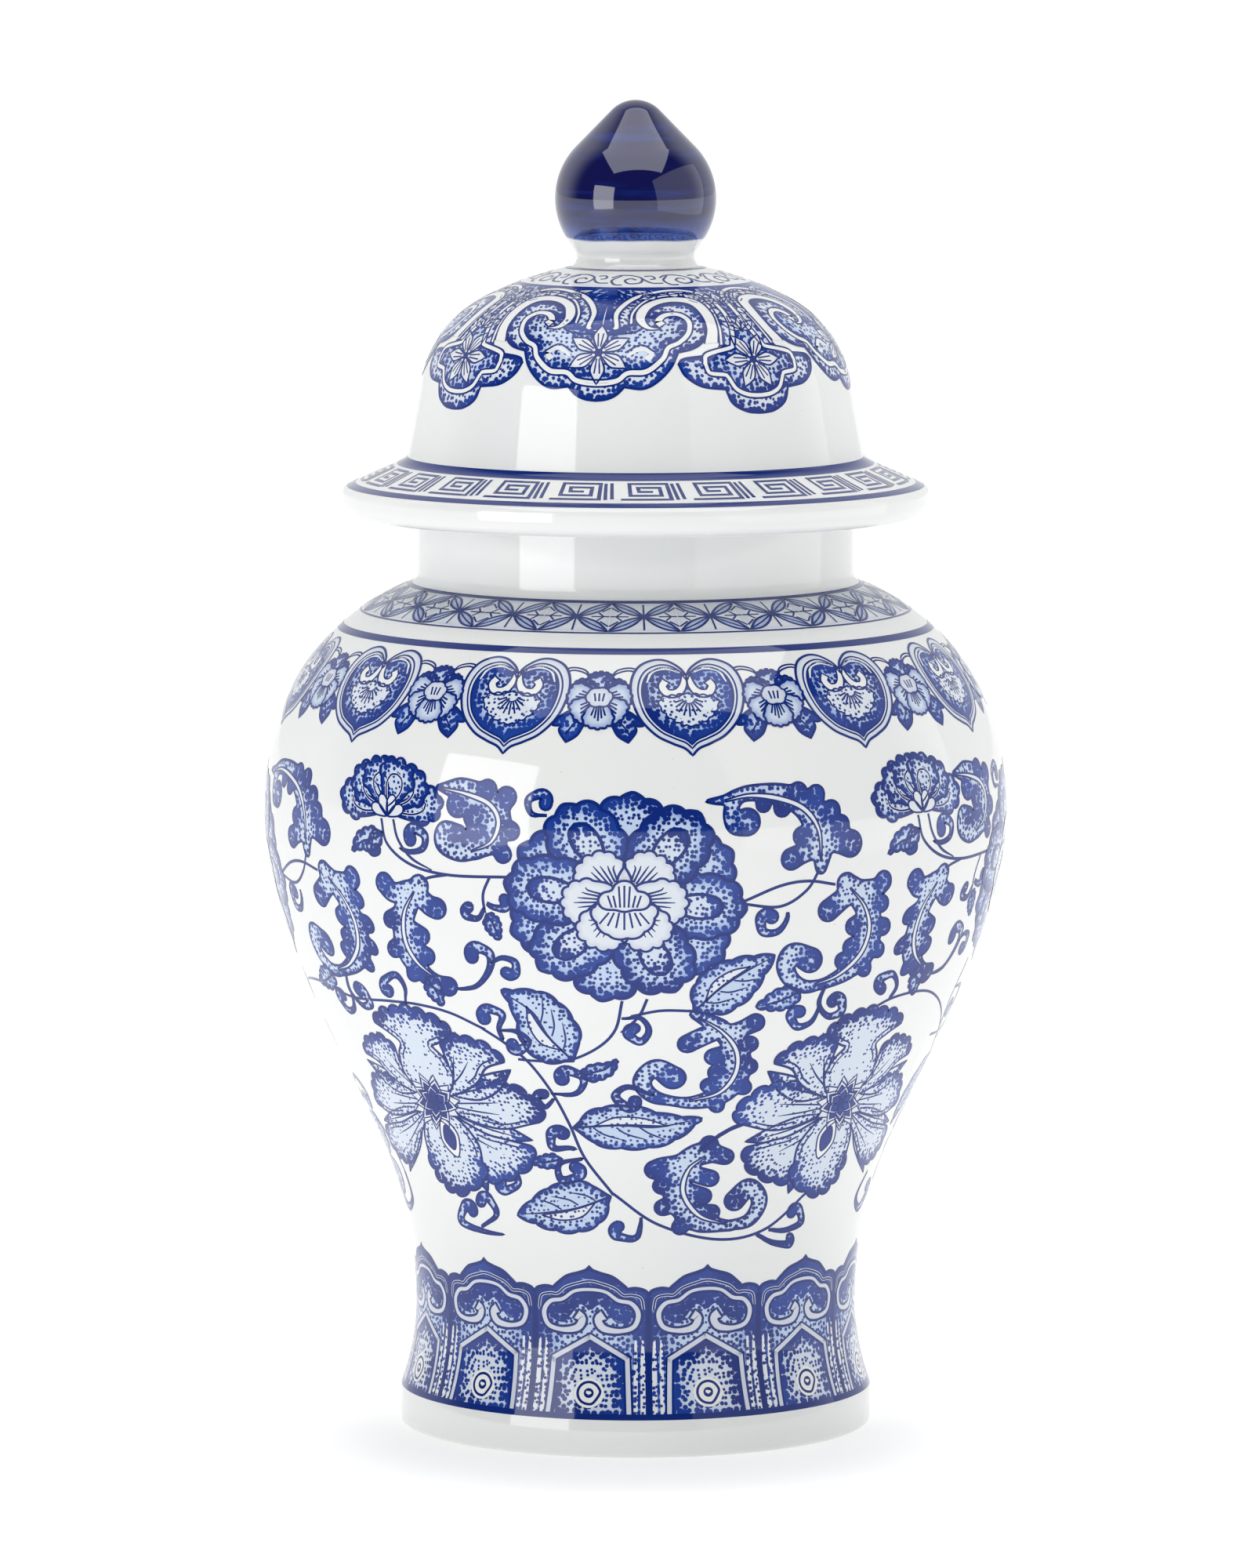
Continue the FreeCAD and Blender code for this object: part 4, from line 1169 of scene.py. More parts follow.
def lid_cloud():
    """A cloud head of two facing spirals over a lobed edge, with a flower inside."""
    art = Drawing()
    for side in (-1, 1):
        art.pale(facing(side, [(6.4, 9.6), (6.2, 14.6), (8.5, 19.8), (13.1, 22.0), (18.8, 21.5),
                               (23.6, 16.7), (27.1, 9.2), (28.2, 4.2)]), 0.6, 3)
        art.line(facing(side, [(6.0, 9.7), (5.8, 14.7), (8.2, 20.1), (13.0, 22.4), (19.0, 21.9),
                               (23.9, 16.9), (27.5, 9.3), (28.6, 4.2)]), FINE, 4)
    left = joined([(0, 7.0), (-7.5, 8.0), (-9.6, 10.6), (-10.2, 15.6), (-13.6, 18.0),
                   (-18.4, 17.4), (-21.8, 13.6), (-23.9, 9.0), (-23.6, 5.4), (-21.6, 3.4),
                   (-18.0, 2.4)],
                  [(-18.0, 2.4), (-16.6, -1.4), (-13.8, -4.6), (-10.6, -6.2), (-6.4, -5.8)],
                  [(-6.4, -5.8), (-4.6, -7.6), (-2.4, -8.6), (0, -8.9)])
    left = np.vstack([left, (0, -8.9)])
    art.shape(np.vstack([left, (left * (-1, 1))[::-1][1:-1]]), LINE, 4, wash=0.5, fade=0.7)
    for side in (-1, 1):
        gap = facing(side, [(13.4, 8.8), (10.2, 9.4), (8.2, 12.4), (9.0, 16.8), (12.0, 19.4),
                            (16.0, 19.8), (20.0, 18.0), (23.6, 13.2), (25.4, 8.6), (25.6, 4.6)])
        flanks = sides(gap, [0.3, 1.6, 2.7, 2.6, 2.4, 2.3, 2.5, 2.6, 2.7, 3.4])
        art.band(*flanks, 6)
        for flank in flanks:
            art.outline(flank, FINE, 7, closed=False)
    foot = [(-18.0, 5.0), (-15.6, 3.6), (-14.6, 0.8), (-11.2, -2.2), (-7.0, -2.6), (-4.6, -4.4),
            (0, -5.0)]
    ruyi = both_ways([(-13.6, 9.9), (-12.4, 11.4), (-13.6, 13.4), (-16.6, 13.6), (-19.4, 11.2),
                      (-19.8, 7.6)] + foot)
    widths = [1.9, 2.0, 1.6, 1.4, 1.5, 1.6, 1.5, 1.5, 1.6, 1.6, 1.5, 1.5, 1.6]
    art.ribbon(ruyi, widths + widths[::-1], 6)
    inside = both_ways([(-9.4, 12.6), (-13.0, 15.0), (-17.6, 13.6), (-19.8, 9.0)] + foot)
    inside = joined(inside, [inside[-1], (4.0, 9.2), (0, 8.0), (-4.0, 9.2), inside[0]])
    art.fill(inside, wash=0.8, layer=5, fade=0.4)
    art.add(veined_flower(7.6, 6, 6), (0, 2.4))
    for side in (-1, 1):
        art.pale(facing(side, [(6.4, 1.4), (9.4, 3.4), (12.0, 2.2), (11.0, 0.6)]), 1.1, 6, 0.2,
                 ends=(0.5, 1.5))
        art.line(facing(side, [(6.0, 2.4), (9.4, 4.4), (12.6, 2.6)]), FINE, 7)
    return art


SCROLL_UNITS, SCROLL_RADIUS = 12, 22.5


def scroll_unit():
    """One bay of the thin running scroll round the knob's foot."""
    art = Drawing()
    for stroke in ([(-5.9, 1.6), (-4.2, 3.2), (-1.2, 3.3), (1.4, 1.6), (1.0, -1.4), (-1.4, -2.0),
                    (-2.4, 0.0), (-1.0, 1.2), (0.1, 0.2)],
                   [(1.6, 1.0), (3.4, -1.6), (5.9, -1.8)],
                   [(2.2, 2.6), (4.2, 2.8), (4.6, 1.0), (3.4, 0.6)],
                   [(-3.6, 3.0), (-5.4, 0.0), (-4.4, -2.6), (-2.8, -2.8)]):
        art.line(stroke, LINE, 1)
    return art


KEY_UNITS, KEY_RADIUS, KEY_TURN = 24, 59.3, 3.0


def key_unit():
    """One square spiral of the fret on the brim, with two slanting strokes beside it."""
    art = Drawing()
    spiral = [(-6.2, -3.7), (4.6, -3.7), (4.2, 3.6), (-4.6, 3.6), (-4.2, -1.9), (2.6, -1.9),
              (2.4, 1.8), (-2.6, 1.8), (-2.3, -0.1), (0.8, -0.1)]
    left, right = mitred(spiral, 0.9)
    art.strip(left, right, 1, True)
    for start, end in (((6.0, -3.9), (5.4, 3.7)), ((7.4, -3.6), (6.8, 3.9))):
        art.straight(start, end, 0.8, 1)
    return art


# ---------------------------------------------------------------- leaves, curls and flowers
BODY_SWELL, LOBE_REACH, LOBE_SWELL = 1.08, 0.80, 1.3


def side_lobe(first, *rest):
    """A side stroke, cut a little short, and with a fuller head."""
    (x, y, thin), (u, v, thick) = first, rest[-1]
    head = (x + (u - x) * LOBE_REACH, y + (v - y) * LOBE_REACH, max(thin, thick * LOBE_SWELL))
    return [first, *rest[:-1], head]


def foliage(strokes, rib=None):
    """Scrolling leafage: strokes that flow together, stippled, with an optional rib."""
    art = Drawing()
    if rib:
        body = [(x, y, radius * BODY_SWELL) for x, y, radius in strokes[0]]
        strokes = [body] + [side_lobe(*stroke) for stroke in strokes[1:]]
    heads = [polar((x, y), 0.75 * radius, math.radians(turn))
             for x, y, radius in (stroke[-1] for stroke in strokes) for turn in range(0, 360, 45)]
    art.shape(soft_union(strokes), wash=0.85, edge=0.3, fade=1.2, dark=heads)
    if rib:
        art.pale(rib, 1.1, 1, 0.25, ends=(0.2, 0.3))
        for flank in sides(rib, [0.3, 1.2, 1.2, 0.4]):
            art.outline(flank, FINE, 2, closed=False)
    return art


def curl(points, size):
    """A comma-shaped tendril: it swells, and winds in to a round head."""
    (x0, y0), (x1, y1), (x2, y2) = points[-3:] if len(points) > 2 else [points[0]] + points
    bend = (x1 - x0) * (y2 - y1) - (y1 - y0) * (x2 - x1)
    side = 1 if bend > 0 else -1
    heading = math.atan2(y2 - y1, x2 - x1) + side * 0.5
    winding = list(points)
    for step in range(3):
        winding.append(polar(winding[-1], 0.72 * size, heading))
        heading += side * 0.95
    count = len(winding)
    thin, thick = 0.26, 0.82 * size
    return foliage([[(x, y, thin + (thick - thin) * (k / (count - 1)) ** 1.6)
                     for k, (x, y) in enumerate(winding)]])


def leaf(length, width, bend):
    """A pointed leaf that grows upwards: stippled, with a rib, side veins and an almond."""
    art = Drawing()

    def at(out, up):
        return out * width / 2, up * length

    near = [(0, 0), at(-0.9, 0.18), at(-1.05, 0.45), at(-0.6, 0.72), (bend, length)]
    far = [(bend, length), at(0.7, 0.78), at(1.05, 0.52), at(0.85, 0.2), (0, 0)]
    art.shape(lobed(joined(near, far), 9, 0.5, 0.04, 0.9, 0.7))
    rib = [(0, 0.4), at(-0.12, 0.35), at(0, 0.65), (bend * 0.9, length * 0.94)]
    art.line(rib, LINE, 2, ends=(0.6, 0.2))
    if width < 7:
        return art
    almond = joined([at(-0.06, 0.16), at(-0.52, 0.34), at(-0.44, 0.56), at(-0.02, 0.74)],
                    [at(-0.02, 0.74), at(-0.14, 0.42), at(-0.06, 0.16)])
    art.shape(almond, FINE, 1, wash=0.3, edge=2.4)
    for start, reach in ((0.16, 0.40), (0.34, 0.58), (0.52, 0.72)):
        art.line([at(0, start), at(0.34, start + 0.08), at(0.66, reach)], FINE, 2,
                 ends=(0.4, 0.15))
    return art


def petal_edge(length, width, waist=0.5):
    """A plain petal outline that grows upwards from zero."""
    shares = ((0, 0), (waist, 0.22), (0.98, 0.6), (0.72, 0.9), (0, 1))
    return twofold([(-width / 2 * out, length * up) for out, up in shares])


def peony_petal(length, width, drop=False, layer=0):
    """A broad scalloped petal; a front one also has a stippled teardrop."""
    art = Drawing()
    edge = lobed(petal_edge(length, width, 0.7), 7, 0.9, 0.2, 0.8)
    art.shape(edge, BOLD, layer, fade=0.42)
    if drop:
        teardrop = petal_edge(length * 0.54, width * 0.40) + (0, length * 0.29)
        head = [polar((0, length * 0.70), width * 0.16, math.radians(turn))
                for turn in (30, 60, 90, 120, 150)]
        art.shape(teardrop, BOLD, layer + 1, wash=0.65, edge=0.6, fade=1.2, dark=head)
    return art


def peony():
    """The great open flower: rows of scalloped petals round a veined heart."""
    art = Drawing()
    behind = peony_petal(25.6, 15.5)
    for turn in (-4, 61, 109, 169, 234, 297):
        art.add(behind, turn=turn)
    for number, turn in enumerate((30, 81, 134, 205, 265, 323)):
        front = peony_petal(26.0 - (number in (2, 3)), 15.6, True, 2 + 3 * (number % 2))
        art.add(front, turn=turn)
    inner = Drawing()
    inner.flat(lobed(petal_edge(13.4, 10.8, 0.8), 7, 0.7, 0.24, 0.76), 0.4, LINE, 8)
    for lean in (-3.4, -2.3, -1.1, 0, 1.1, 2.3, 3.4):
        reach = 11.0 - abs(lean) * 0.8
        inner.line([(lean * 0.6, 5.0), (lean * 0.9, 7.8), (lean * 1.12, reach)], FINE, 9,
                   ends=(LINE, 0.2))
    for number, turn in enumerate((38, 322, 92, 268, 146, 214)):
        art.add(inner, turn=turn, lift=2 * (number // 2))
    edge = smooth([(-6.4, -1.4), (-5.8, -5.6), (-2.6, -8.8), (2.6, -8.8), (5.8, -5.6),
                   (6.4, -1.4), (0, 0.4)], True)
    art.flat(lobed(edge, 9, 0.5), 0.35, LINE, 14)
    edge = soft_union([[(-3.4, 0.2, 2.3), (3.4, 0.2, 2.3)], [(0, 0, 2.6), (0, 2.6, 2.6)]], 0.4)
    art.flat(edge, 0.3, LINE, 16)
    for step in range(-3, 4):
        art.line([(step * 1.1, -2.8), (step * 1.8, abs(step) * 0.5 - 7.2)], FINE, 15)
        top = 4.0 - 0.2 * abs(step) if abs(step) < 2 else 1.5
        art.line([(step * 0.9, -1.5), (step * 1.2, top)], FINE, 17)
    return art


def bud():
    """A half-open flower seen from the side, with small sepals under it."""
    art = Drawing()
    for turn, length, width, layer in ((80, 15.0, 7.6, 0), (-80, 15.0, 7.6, 0),
                                       (50, 12.8, 8.6, 2), (-50, 12.8, 8.6, 2),
                                       (20, 11.6, 9.2, 4), (-20, 11.6, 9.2, 6)):
        part = Drawing()
        edge = lobed(petal_edge(length, width), 5, 0.9, 0.25, 0.75)
        part.shape(edge, LINE, layer, wash=0.8, fade=0.8)
        ring = petal_edge(length * 0.66, width * 0.5) + (0, length * 0.08)
        part.pale(ring, 0.7, layer + 1, closed=True)
        part.outline(ring, FINE, layer + 2)
        art.add(part, turn=turn)
    sepal = Drawing()
    sepal.flat(petal_edge(5.2, 2.6), 0.15, FINE, 8)
    for turn in (-64, -22, 22, 64):
        art.add(sepal, (0, -1.4), turn)
    return art


def petal(art, flank, crest, back, layer, veins=(), lobes=5, height=1.2, spread=1.2):
    """One lotus petal: up one flank, along its dark frilled crest, and back to the heart."""
    top = frill(crest, lobes, height)
    edge = joined(flank, top, back)
    rim = top[::2]
    inward = edge.mean(0) - rim
    dark = np.vstack([rim + inward * depth * spread for depth in (0, 0.06)])
    art.shape(edge, LINE, layer, wash=0.6, edge=1.4, fade=0.9, dark=dark)
    side = -math.copysign(1.25, height)
    for line, first, last in ((smooth(flank), 0.45, 0.92), (smooth(back), 0.1, 0.5)):
        line = line + normals_of(line) * side
        line = line[int(len(line) * first):int(len(line) * last)]
        art.outline(line, FINE, layer + 1, closed=False)
    for vein in veins:
        art.line(vein, FINE, layer + 1, ends=(0.45, 0.15))


def spear(art, base, tip, width, lean, layer):
    """A thin pointed lotus petal with a vein."""
    (x, y), (u, v) = base, tip
    size = math.hypot(u - x, v - y)
    ahead = ((u - x) / size, (v - y) / size)
    aside = (-ahead[1], ahead[0])

    def at(far, out=0.0):
        out = out * width + lean * math.sin(math.pi * far) * 2
        return (x + ahead[0] * far * size + aside[0] * out,
                y + ahead[1] * far * size + aside[1] * out)

    edge = joined([at(0), at(0.35, 0.5), at(0.7, 0.42), at(1)],
                  [at(1), at(0.7, -0.42), at(0.35, -0.5), at(0)])
    art.shape(edge, LINE, layer, wash=0.4, edge=1.7, fade=2.0, dark=[at(1), at(0.93), at(0.86)])
    art.line([at(0.1), at(0.5), at(0.85)], FINE, layer + 1, ends=(0.4, 0.15))


def lotus_side():
    """The petals to the left of the lotus's middle line."""
    art = Drawing()
    spear(art, (-5, 2.4), (-24.4, 10.6), 5.0, 0.7, 0)
    spear(art, (-4, -2.4), (-26.6, -8.2), 5.0, 0.3, 0)
    spear(art, (-6, -8), (-16.0, -23.0), 5.0, -0.4, 0)
    spear(art, (-3, 3), (-13.2, 19.6), 7.0, 1.2, 3)
    petal(art, [(-2, -0.6), (-10, -4.0), (-19, -5.6), (-27.2, -3.4)],
          [(-27.2, -3.4), (-28.2, 0.6), (-25.0, 5.0), (-20.0, 6.6), (-14.4, 6.0)],
          [(-14.4, 6.0), (-8, 4.0), (-2, -0.6)], 1,
          [[(-6, 0.2), (-12, 0.8), (-18, 1.4)], [(-6, -0.8), (-12, -1.4), (-18, -1.8)]])
    petal(art, [(-2, -1.4), (-9, -4.8), (-15, -7.4), (-20, -8.4), (-26, -9.6)],
          [(-26, -9.6), (-26.4, -14.2), (-22.4, -18.0), (-17.0, -19.6), (-11.4, -18.4)],
          [(-11.4, -18.4), (-7, -10.6), (-2, -1.4)], 3,
          [[(-5, -4.0), (-11, -8.4), (-18, -11.6)], [(-5, -4.6), (-9.6, -10), (-14, -14.6)]],
          height=-1.2)
    petal(art, [(-2, 1), (-9, 3.4), (-14.6, 6.6), (-18.2, 10.6), (-23.4, 12.6)],
          [(-23.4, 12.6), (-20.6, 16.2), (-16, 17.8), (-11.6, 18.0), (-7.8, 14.8)],
          [(-7.8, 14.8), (-8.0, 10.4), (-6.0, 5.6), (-2, 1)], 5,
          [[(-5, 3.6), (-10.4, 8.0), (-14, 12.0)], [(-5, 4.2), (-8.6, 8.8), (-10.6, 13.4)]])
    return art


def lotus():
    """A lotus in full bloom: frilled petals round a pointed star, with a dark seed below."""
    art = Drawing()
    art.add(lotus_side())
    art.add(lotus_side(), turn=-3, scale=0.9, mirror=True)
    petal(art, [(-1.4, -1), (-7.4, -4.6), (-12.4, -10.0), (-14.0, -15.4)],
          [(-14.0, -15.4), (-14.2, -19.6), (-11.0, -22.6), (-7.4, -24.0), (-3.6, -22.8),
           (0.4, -19.8), (3.4, -15.0)],
          [(3.4, -15.0), (4.4, -9), (2.6, -4), (-1.4, -1)], 8, lobes=6, height=-1.2,
          spread=1.6)
    seed = Drawing()
    for size, ink, layer in ((1.0, 0.0, 10), (0.62, 1.0, 12)):
        edge = smooth([(0, 5.8 * size), (-2.7 * size, 0), (0, -5.8 * size), (2.7 * size, 0)],
                      True)
        seed.shape(edge, FINE, layer, wash=0.0, ink=ink, stipple=0.0)
    art.add(seed, (-4.2, -9.4), -26)
    petal(art, [(0, 0), (-5.4, 3), (-8.2, 7.6), (-7.4, 12.2), (-5.2, 15.2), (-7.0, 16.2),
                (-10.4, 18.0)],
          [(-10.4, 18.4), (-10.6, 21.4), (-6, 23.4), (-1, 24.4), (4, 23.6), (8.6, 22.4),
           (12.2, 19.6)],
          [(12.2, 19.6), (8.0, 17.6), (5.0, 15.2), (6.8, 12), (7.4, 7), (4.8, 3), (0, 0)], 8,
          lobes=7, height=1.3, spread=1.9)
    for radius, count, width, ink, layer in ((7.8, 11, 3.4, 0.0, 10), (6.6, 9, 3.6, 1.0, 12),
                                             (4.4, 6, 3.2, 1.0, 15)):
        for size in (1.0, 0.68)[:1 + int(ink)]:
            point = Drawing()
            half, reach, start = width / 2 * size, radius * size, radius * (1 - size) * 0.4
            edge = twofold([(0, start), (-half, start + reach * 0.5), (0, start + reach)])
            point.shape(edge, FINE * 0.8, layer + 1.5 * (size < 1), wash=0.2,
                        ink=ink * (size < 1), stipple=0.0)
            for k in range(count):
                art.add(point, turn=360 * (k + 0.5 * (count % 2)) / count)
    art.dot((0, 0), 1.3, 18)
    return art


# ---------------------------------------------------------------- groups on the belly
BELLY_ZERO = 108.0


def sprig(vines=(), twigs=(), leaves=(), curls=(), clumps=()):
    """Thin stems and tapering twigs, with leaves, curls and clumps of leafage.

    A leaf has its base, its tip, and its length, width and bend. A curl has its points and
    its size. A clump has its strokes, whose points each have a radius, and its rib.
    """
    art = Drawing()
    for points in vines:
        art.line(points, STEM, 0)
    for points in twigs:
        art.line(points, STEM, 0, ends=(STEM, TWIG_TIP))
    for base, tip, length, width, bend in leaves:
        art.add(leaf(length, width, bend), **grown(base, tip))
    for points, size in curls:
        art.add(curl(points, size))
    for strokes, rib in clumps:
        art.add(foliage(strokes, rib))
    return art


def peony_group():
    """The great flower and the two short stems under it."""
    art = sprig(
        vines=[[(-3, -0.5), (-4.6, -8), (-9.0, -13), (-16, -16.4), (-24, -16.6)]],
        twigs=[[(2.6, 0), (0.6, -4.6), (-3.4, -8.6)]])
    art.add(peony(), (-2.5, 23.6), scale=np.array([1.03, 0.93]), lift=1)
    return art


def scroll_group():
    """The leafage to the right of the great flower, and the curls round it."""
    return sprig(
        vines=[[(24, 23), (33, 26.4), (40, 27.2), (47, 26)],
            [(24, 22.6), (33, 21.6), (39.5, 25), (43, 30)]],
        leaves=[((38.6, 0.8), (27.4, -3.6), 11.5, 4.6, 0.8)],
        curls=[([(33.4, 22), (35, 19.4), (32.8, 15.8), (29.2, 15.6), (28.4, 18)], 1.9),
            ([(45, 1.6), (43.4, -3), (46, -6.4), (49.6, -5.6), (49.8, -3.2)], 1.8),
            ([(43.6, -3.4), (41.6, -7.4), (38, -8.6), (36.4, -6.6)], 1.8)],
        clumps=[([[(43.2, 30, 1.2), (43.4, 37, 3.0), (40.5, 43.2, 3.2), (34, 46.8, 2.3),
             (26, 47.6, 1.7), (20, 46.2, 1.3), (16, 46, 0.3)],
            [(43, 37, 3.0), (48, 36, 2.7), (53, 34.6, 1.7)],
            [(42.6, 35, 2.4), (38, 33.4, 2.1), (34, 31.8, 1.6)],
            [(42, 38.5, 2.0), (37.4, 37.2, 1.6)], [(38.5, 44.5, 2.2), (37, 48, 1.7)],
            [(41, 43.6, 2.0), (42, 47.2, 1.7)], [(43, 41, 2.2), (46.3, 43, 1.9)],
            [(44, 38.6, 2.0), (49.4, 39.6, 1.7)], [(33, 47, 1.6), (33.6, 43.2, 1.5)],
            [(29, 47.6, 1.3), (29, 44.2, 1.3)],
            [(24, 47.4, 1.0), (21.6, 44.4, 1.5), (22.4, 41, 2.1), (25.4, 39.6, 2.3)]],
            [(43.2, 31.5), (42.6, 38.5), (39, 43.4), (33, 46), (26, 47), (20, 46)]),
            ([[(50, 26, 2.3), (55, 21.4, 2.9), (57.4, 15, 2.7), (55.6, 8.6, 2.7), (50.4, 4.4, 1.8),
             (44, 1.8, 1.0)], [(52, 24.6, 2.6), (47.4, 21.4, 2.4), (43.6, 18.8, 2.0)],
            [(54, 24, 2.4), (59, 24.6, 2.0), (62.2, 26.2, 1.1)],
            [(57, 20, 2.0), (61.2, 20.6, 1.5)], [(57.6, 15, 2.0), (62.0, 14.8, 1.6)],
            [(57, 10.6, 1.9), (60.4, 9.0, 1.5)], [(54.6, 7.6, 1.9), (56.2, 4.2, 1.5)],
            [(56, 17.6, 2.0), (51.2, 15.2, 1.6)], [(55.4, 12.4, 1.9), (50.6, 10.2, 1.6)],
            [(53, 7.6, 1.7), (48.4, 7.4, 1.5)],
            [(46.5, 2.6, 0.8), (40, 1.6, 1.3), (36, 3.8, 1.7), (34.6, 7.4, 2.1), (36.4, 10.2, 2.3),
             (39.4, 9.6, 2.3)]],
            [(51, 25), (55.4, 20), (56.8, 14.4), (54.4, 8.6), (48.4, 4), (42, 2)])])


def bud_group():
    """The half-open flower with its stems, leafage and curls, left of the great flower."""
    art = sprig(
        vines=[[(-62.4, 40), (-60.6, 34.4), (-54, 30.2), (-44, 28.4), (-29, 28.6)]],
        twigs=[[(-58.8, 40), (-57.4, 35.6), (-53.6, 31.6), (-48, 29.2)]],
        leaves=[((-62.0, 36.4), (-73.6, 32.6), 10.5, 4.4, -1.0)],
        curls=[([(-62, 36.6), (-64.6, 36.8), (-66, 34.2)], 1.6),
            ([(-57, 33.8), (-54, 33), (-50.4, 34), (-49.8, 36.8), (-52, 38.2)], 1.9),
            ([(-19.6, 42.6), (-23.4, 43), (-24.2, 46), (-21.8, 47.4)], 1.7)],
        clumps=[([[(-37, 33.4, 0.9), (-32, 36.4, 1.9), (-30.8, 41, 2.4), (-33, 45, 2.8),
             (-39, 47.4, 2.4), (-46.6, 48, 0.3)], [(-31.6, 43.6, 2.2), (-28.6, 47.4, 1.7)],
            [(-30.6, 40, 2.0), (-27.8, 38.8, 1.6)], [(-35, 45.4, 2.0), (-33.4, 49, 1.3)],
            [(-38, 47, 2.2), (-42.2, 43.4, 2.0)], [(-35, 44.6, 2.0), (-37.8, 40.8, 1.8)],
            [(-32.4, 37.4, 1.2), (-36, 36.6, 1.7), (-37.6, 39, 1.9)],
            [(-31.6, 36, 1.7), (-29.8, 33.2, 1.5)],
            [(-36, 33.6, 0.9), (-41, 33.4, 1.5), (-45, 35.4, 1.8), (-44.6, 38.4, 1.9),
             (-42.4, 38.8, 1.6)]],
            [(-38, 34), (-33, 36.4), (-31.2, 41), (-33.4, 44.8), (-39, 46.8), (-45.6, 47.8)])])
    art.add(bud(), (-60.6, 42.0), lift=1)
    return art


def side_group():
    """The leafage to the left of the great flower, below the half-open one."""
    return sprig(
        vines=[[(-44, 28.4), (-49, 27.4), (-52, 25.8)], [(-33.4, 28.4), (-35, 24.4), (-34.6, 20)]],
        leaves=[((-50.4, 3.2), (-45.6, -3.2), 8.0, 3.6, 0.6),
            ((-34.2, 19.8), (-30.8, 14), 6.6, 3.0, 0.4)],
        curls=[([(-42, 0.8), (-37, 2), (-33.8, 6), (-33.4, 10), (-36.2, 11.6)], 1.9),
            ([(-33.6, 7.8), (-30.6, 9.4), (-27.6, 8.6), (-27.2, 6.6)], 1.6),
            ([(-35, 24), (-33.4, 21.8), (-30.6, 21.2)], 1.5),
            ([(-34.8, 21), (-36.2, 18.6), (-38.6, 18.8)], 1.5)],
        clumps=[([[(-51.6, 25.4, 2.3), (-55, 21, 2.8), (-56.6, 15, 2.6), (-55, 8.4, 2.6),
             (-50.6, 4, 1.8), (-45, 1.4, 1.2)],
            [(-53, 24, 2.4), (-49, 21, 2.2), (-45.4, 19.4, 1.9)],
            [(-54.4, 24, 2.4), (-59, 23.2, 2.2), (-63.6, 25.6, 1.6)],
            [(-56.4, 18.6, 2.0), (-61.2, 16.2, 1.5)], [(-56, 11.6, 2.0), (-60.2, 9, 1.6)],
            [(-53.6, 7, 1.9), (-54, 3, 1.5)], [(-55.6, 15.6, 2.0), (-50, 12.8, 1.6)],
            [(-54, 10.4, 1.9), (-48.8, 8, 1.6)], [(-51.8, 6, 1.7), (-50, 2.6, 1.4)],
            [(-47, 2, 1.7), (-43.6, 1.2, 1.8)]],
            [(-53, 24), (-56, 18.4), (-56, 12), (-53, 7), (-48, 3.4)])])


def low_left():
    """The stem and the curls above and below the lotus on the left."""
    return sprig(
        vines=[[(-116, -8), (-107, -4), (-92, -2.6), (-76, -4.6), (-62, -4), (-53, -4),
             (-44, -5.4), (-35, -9)]],
        curls=[([(-57, -4), (-56.8, 0), (-59.4, 3), (-63, 1.4)], 1.9),
            ([(-33, -44), (-29, -46), (-27.6, -50), (-30.4, -52)], 1.7)])


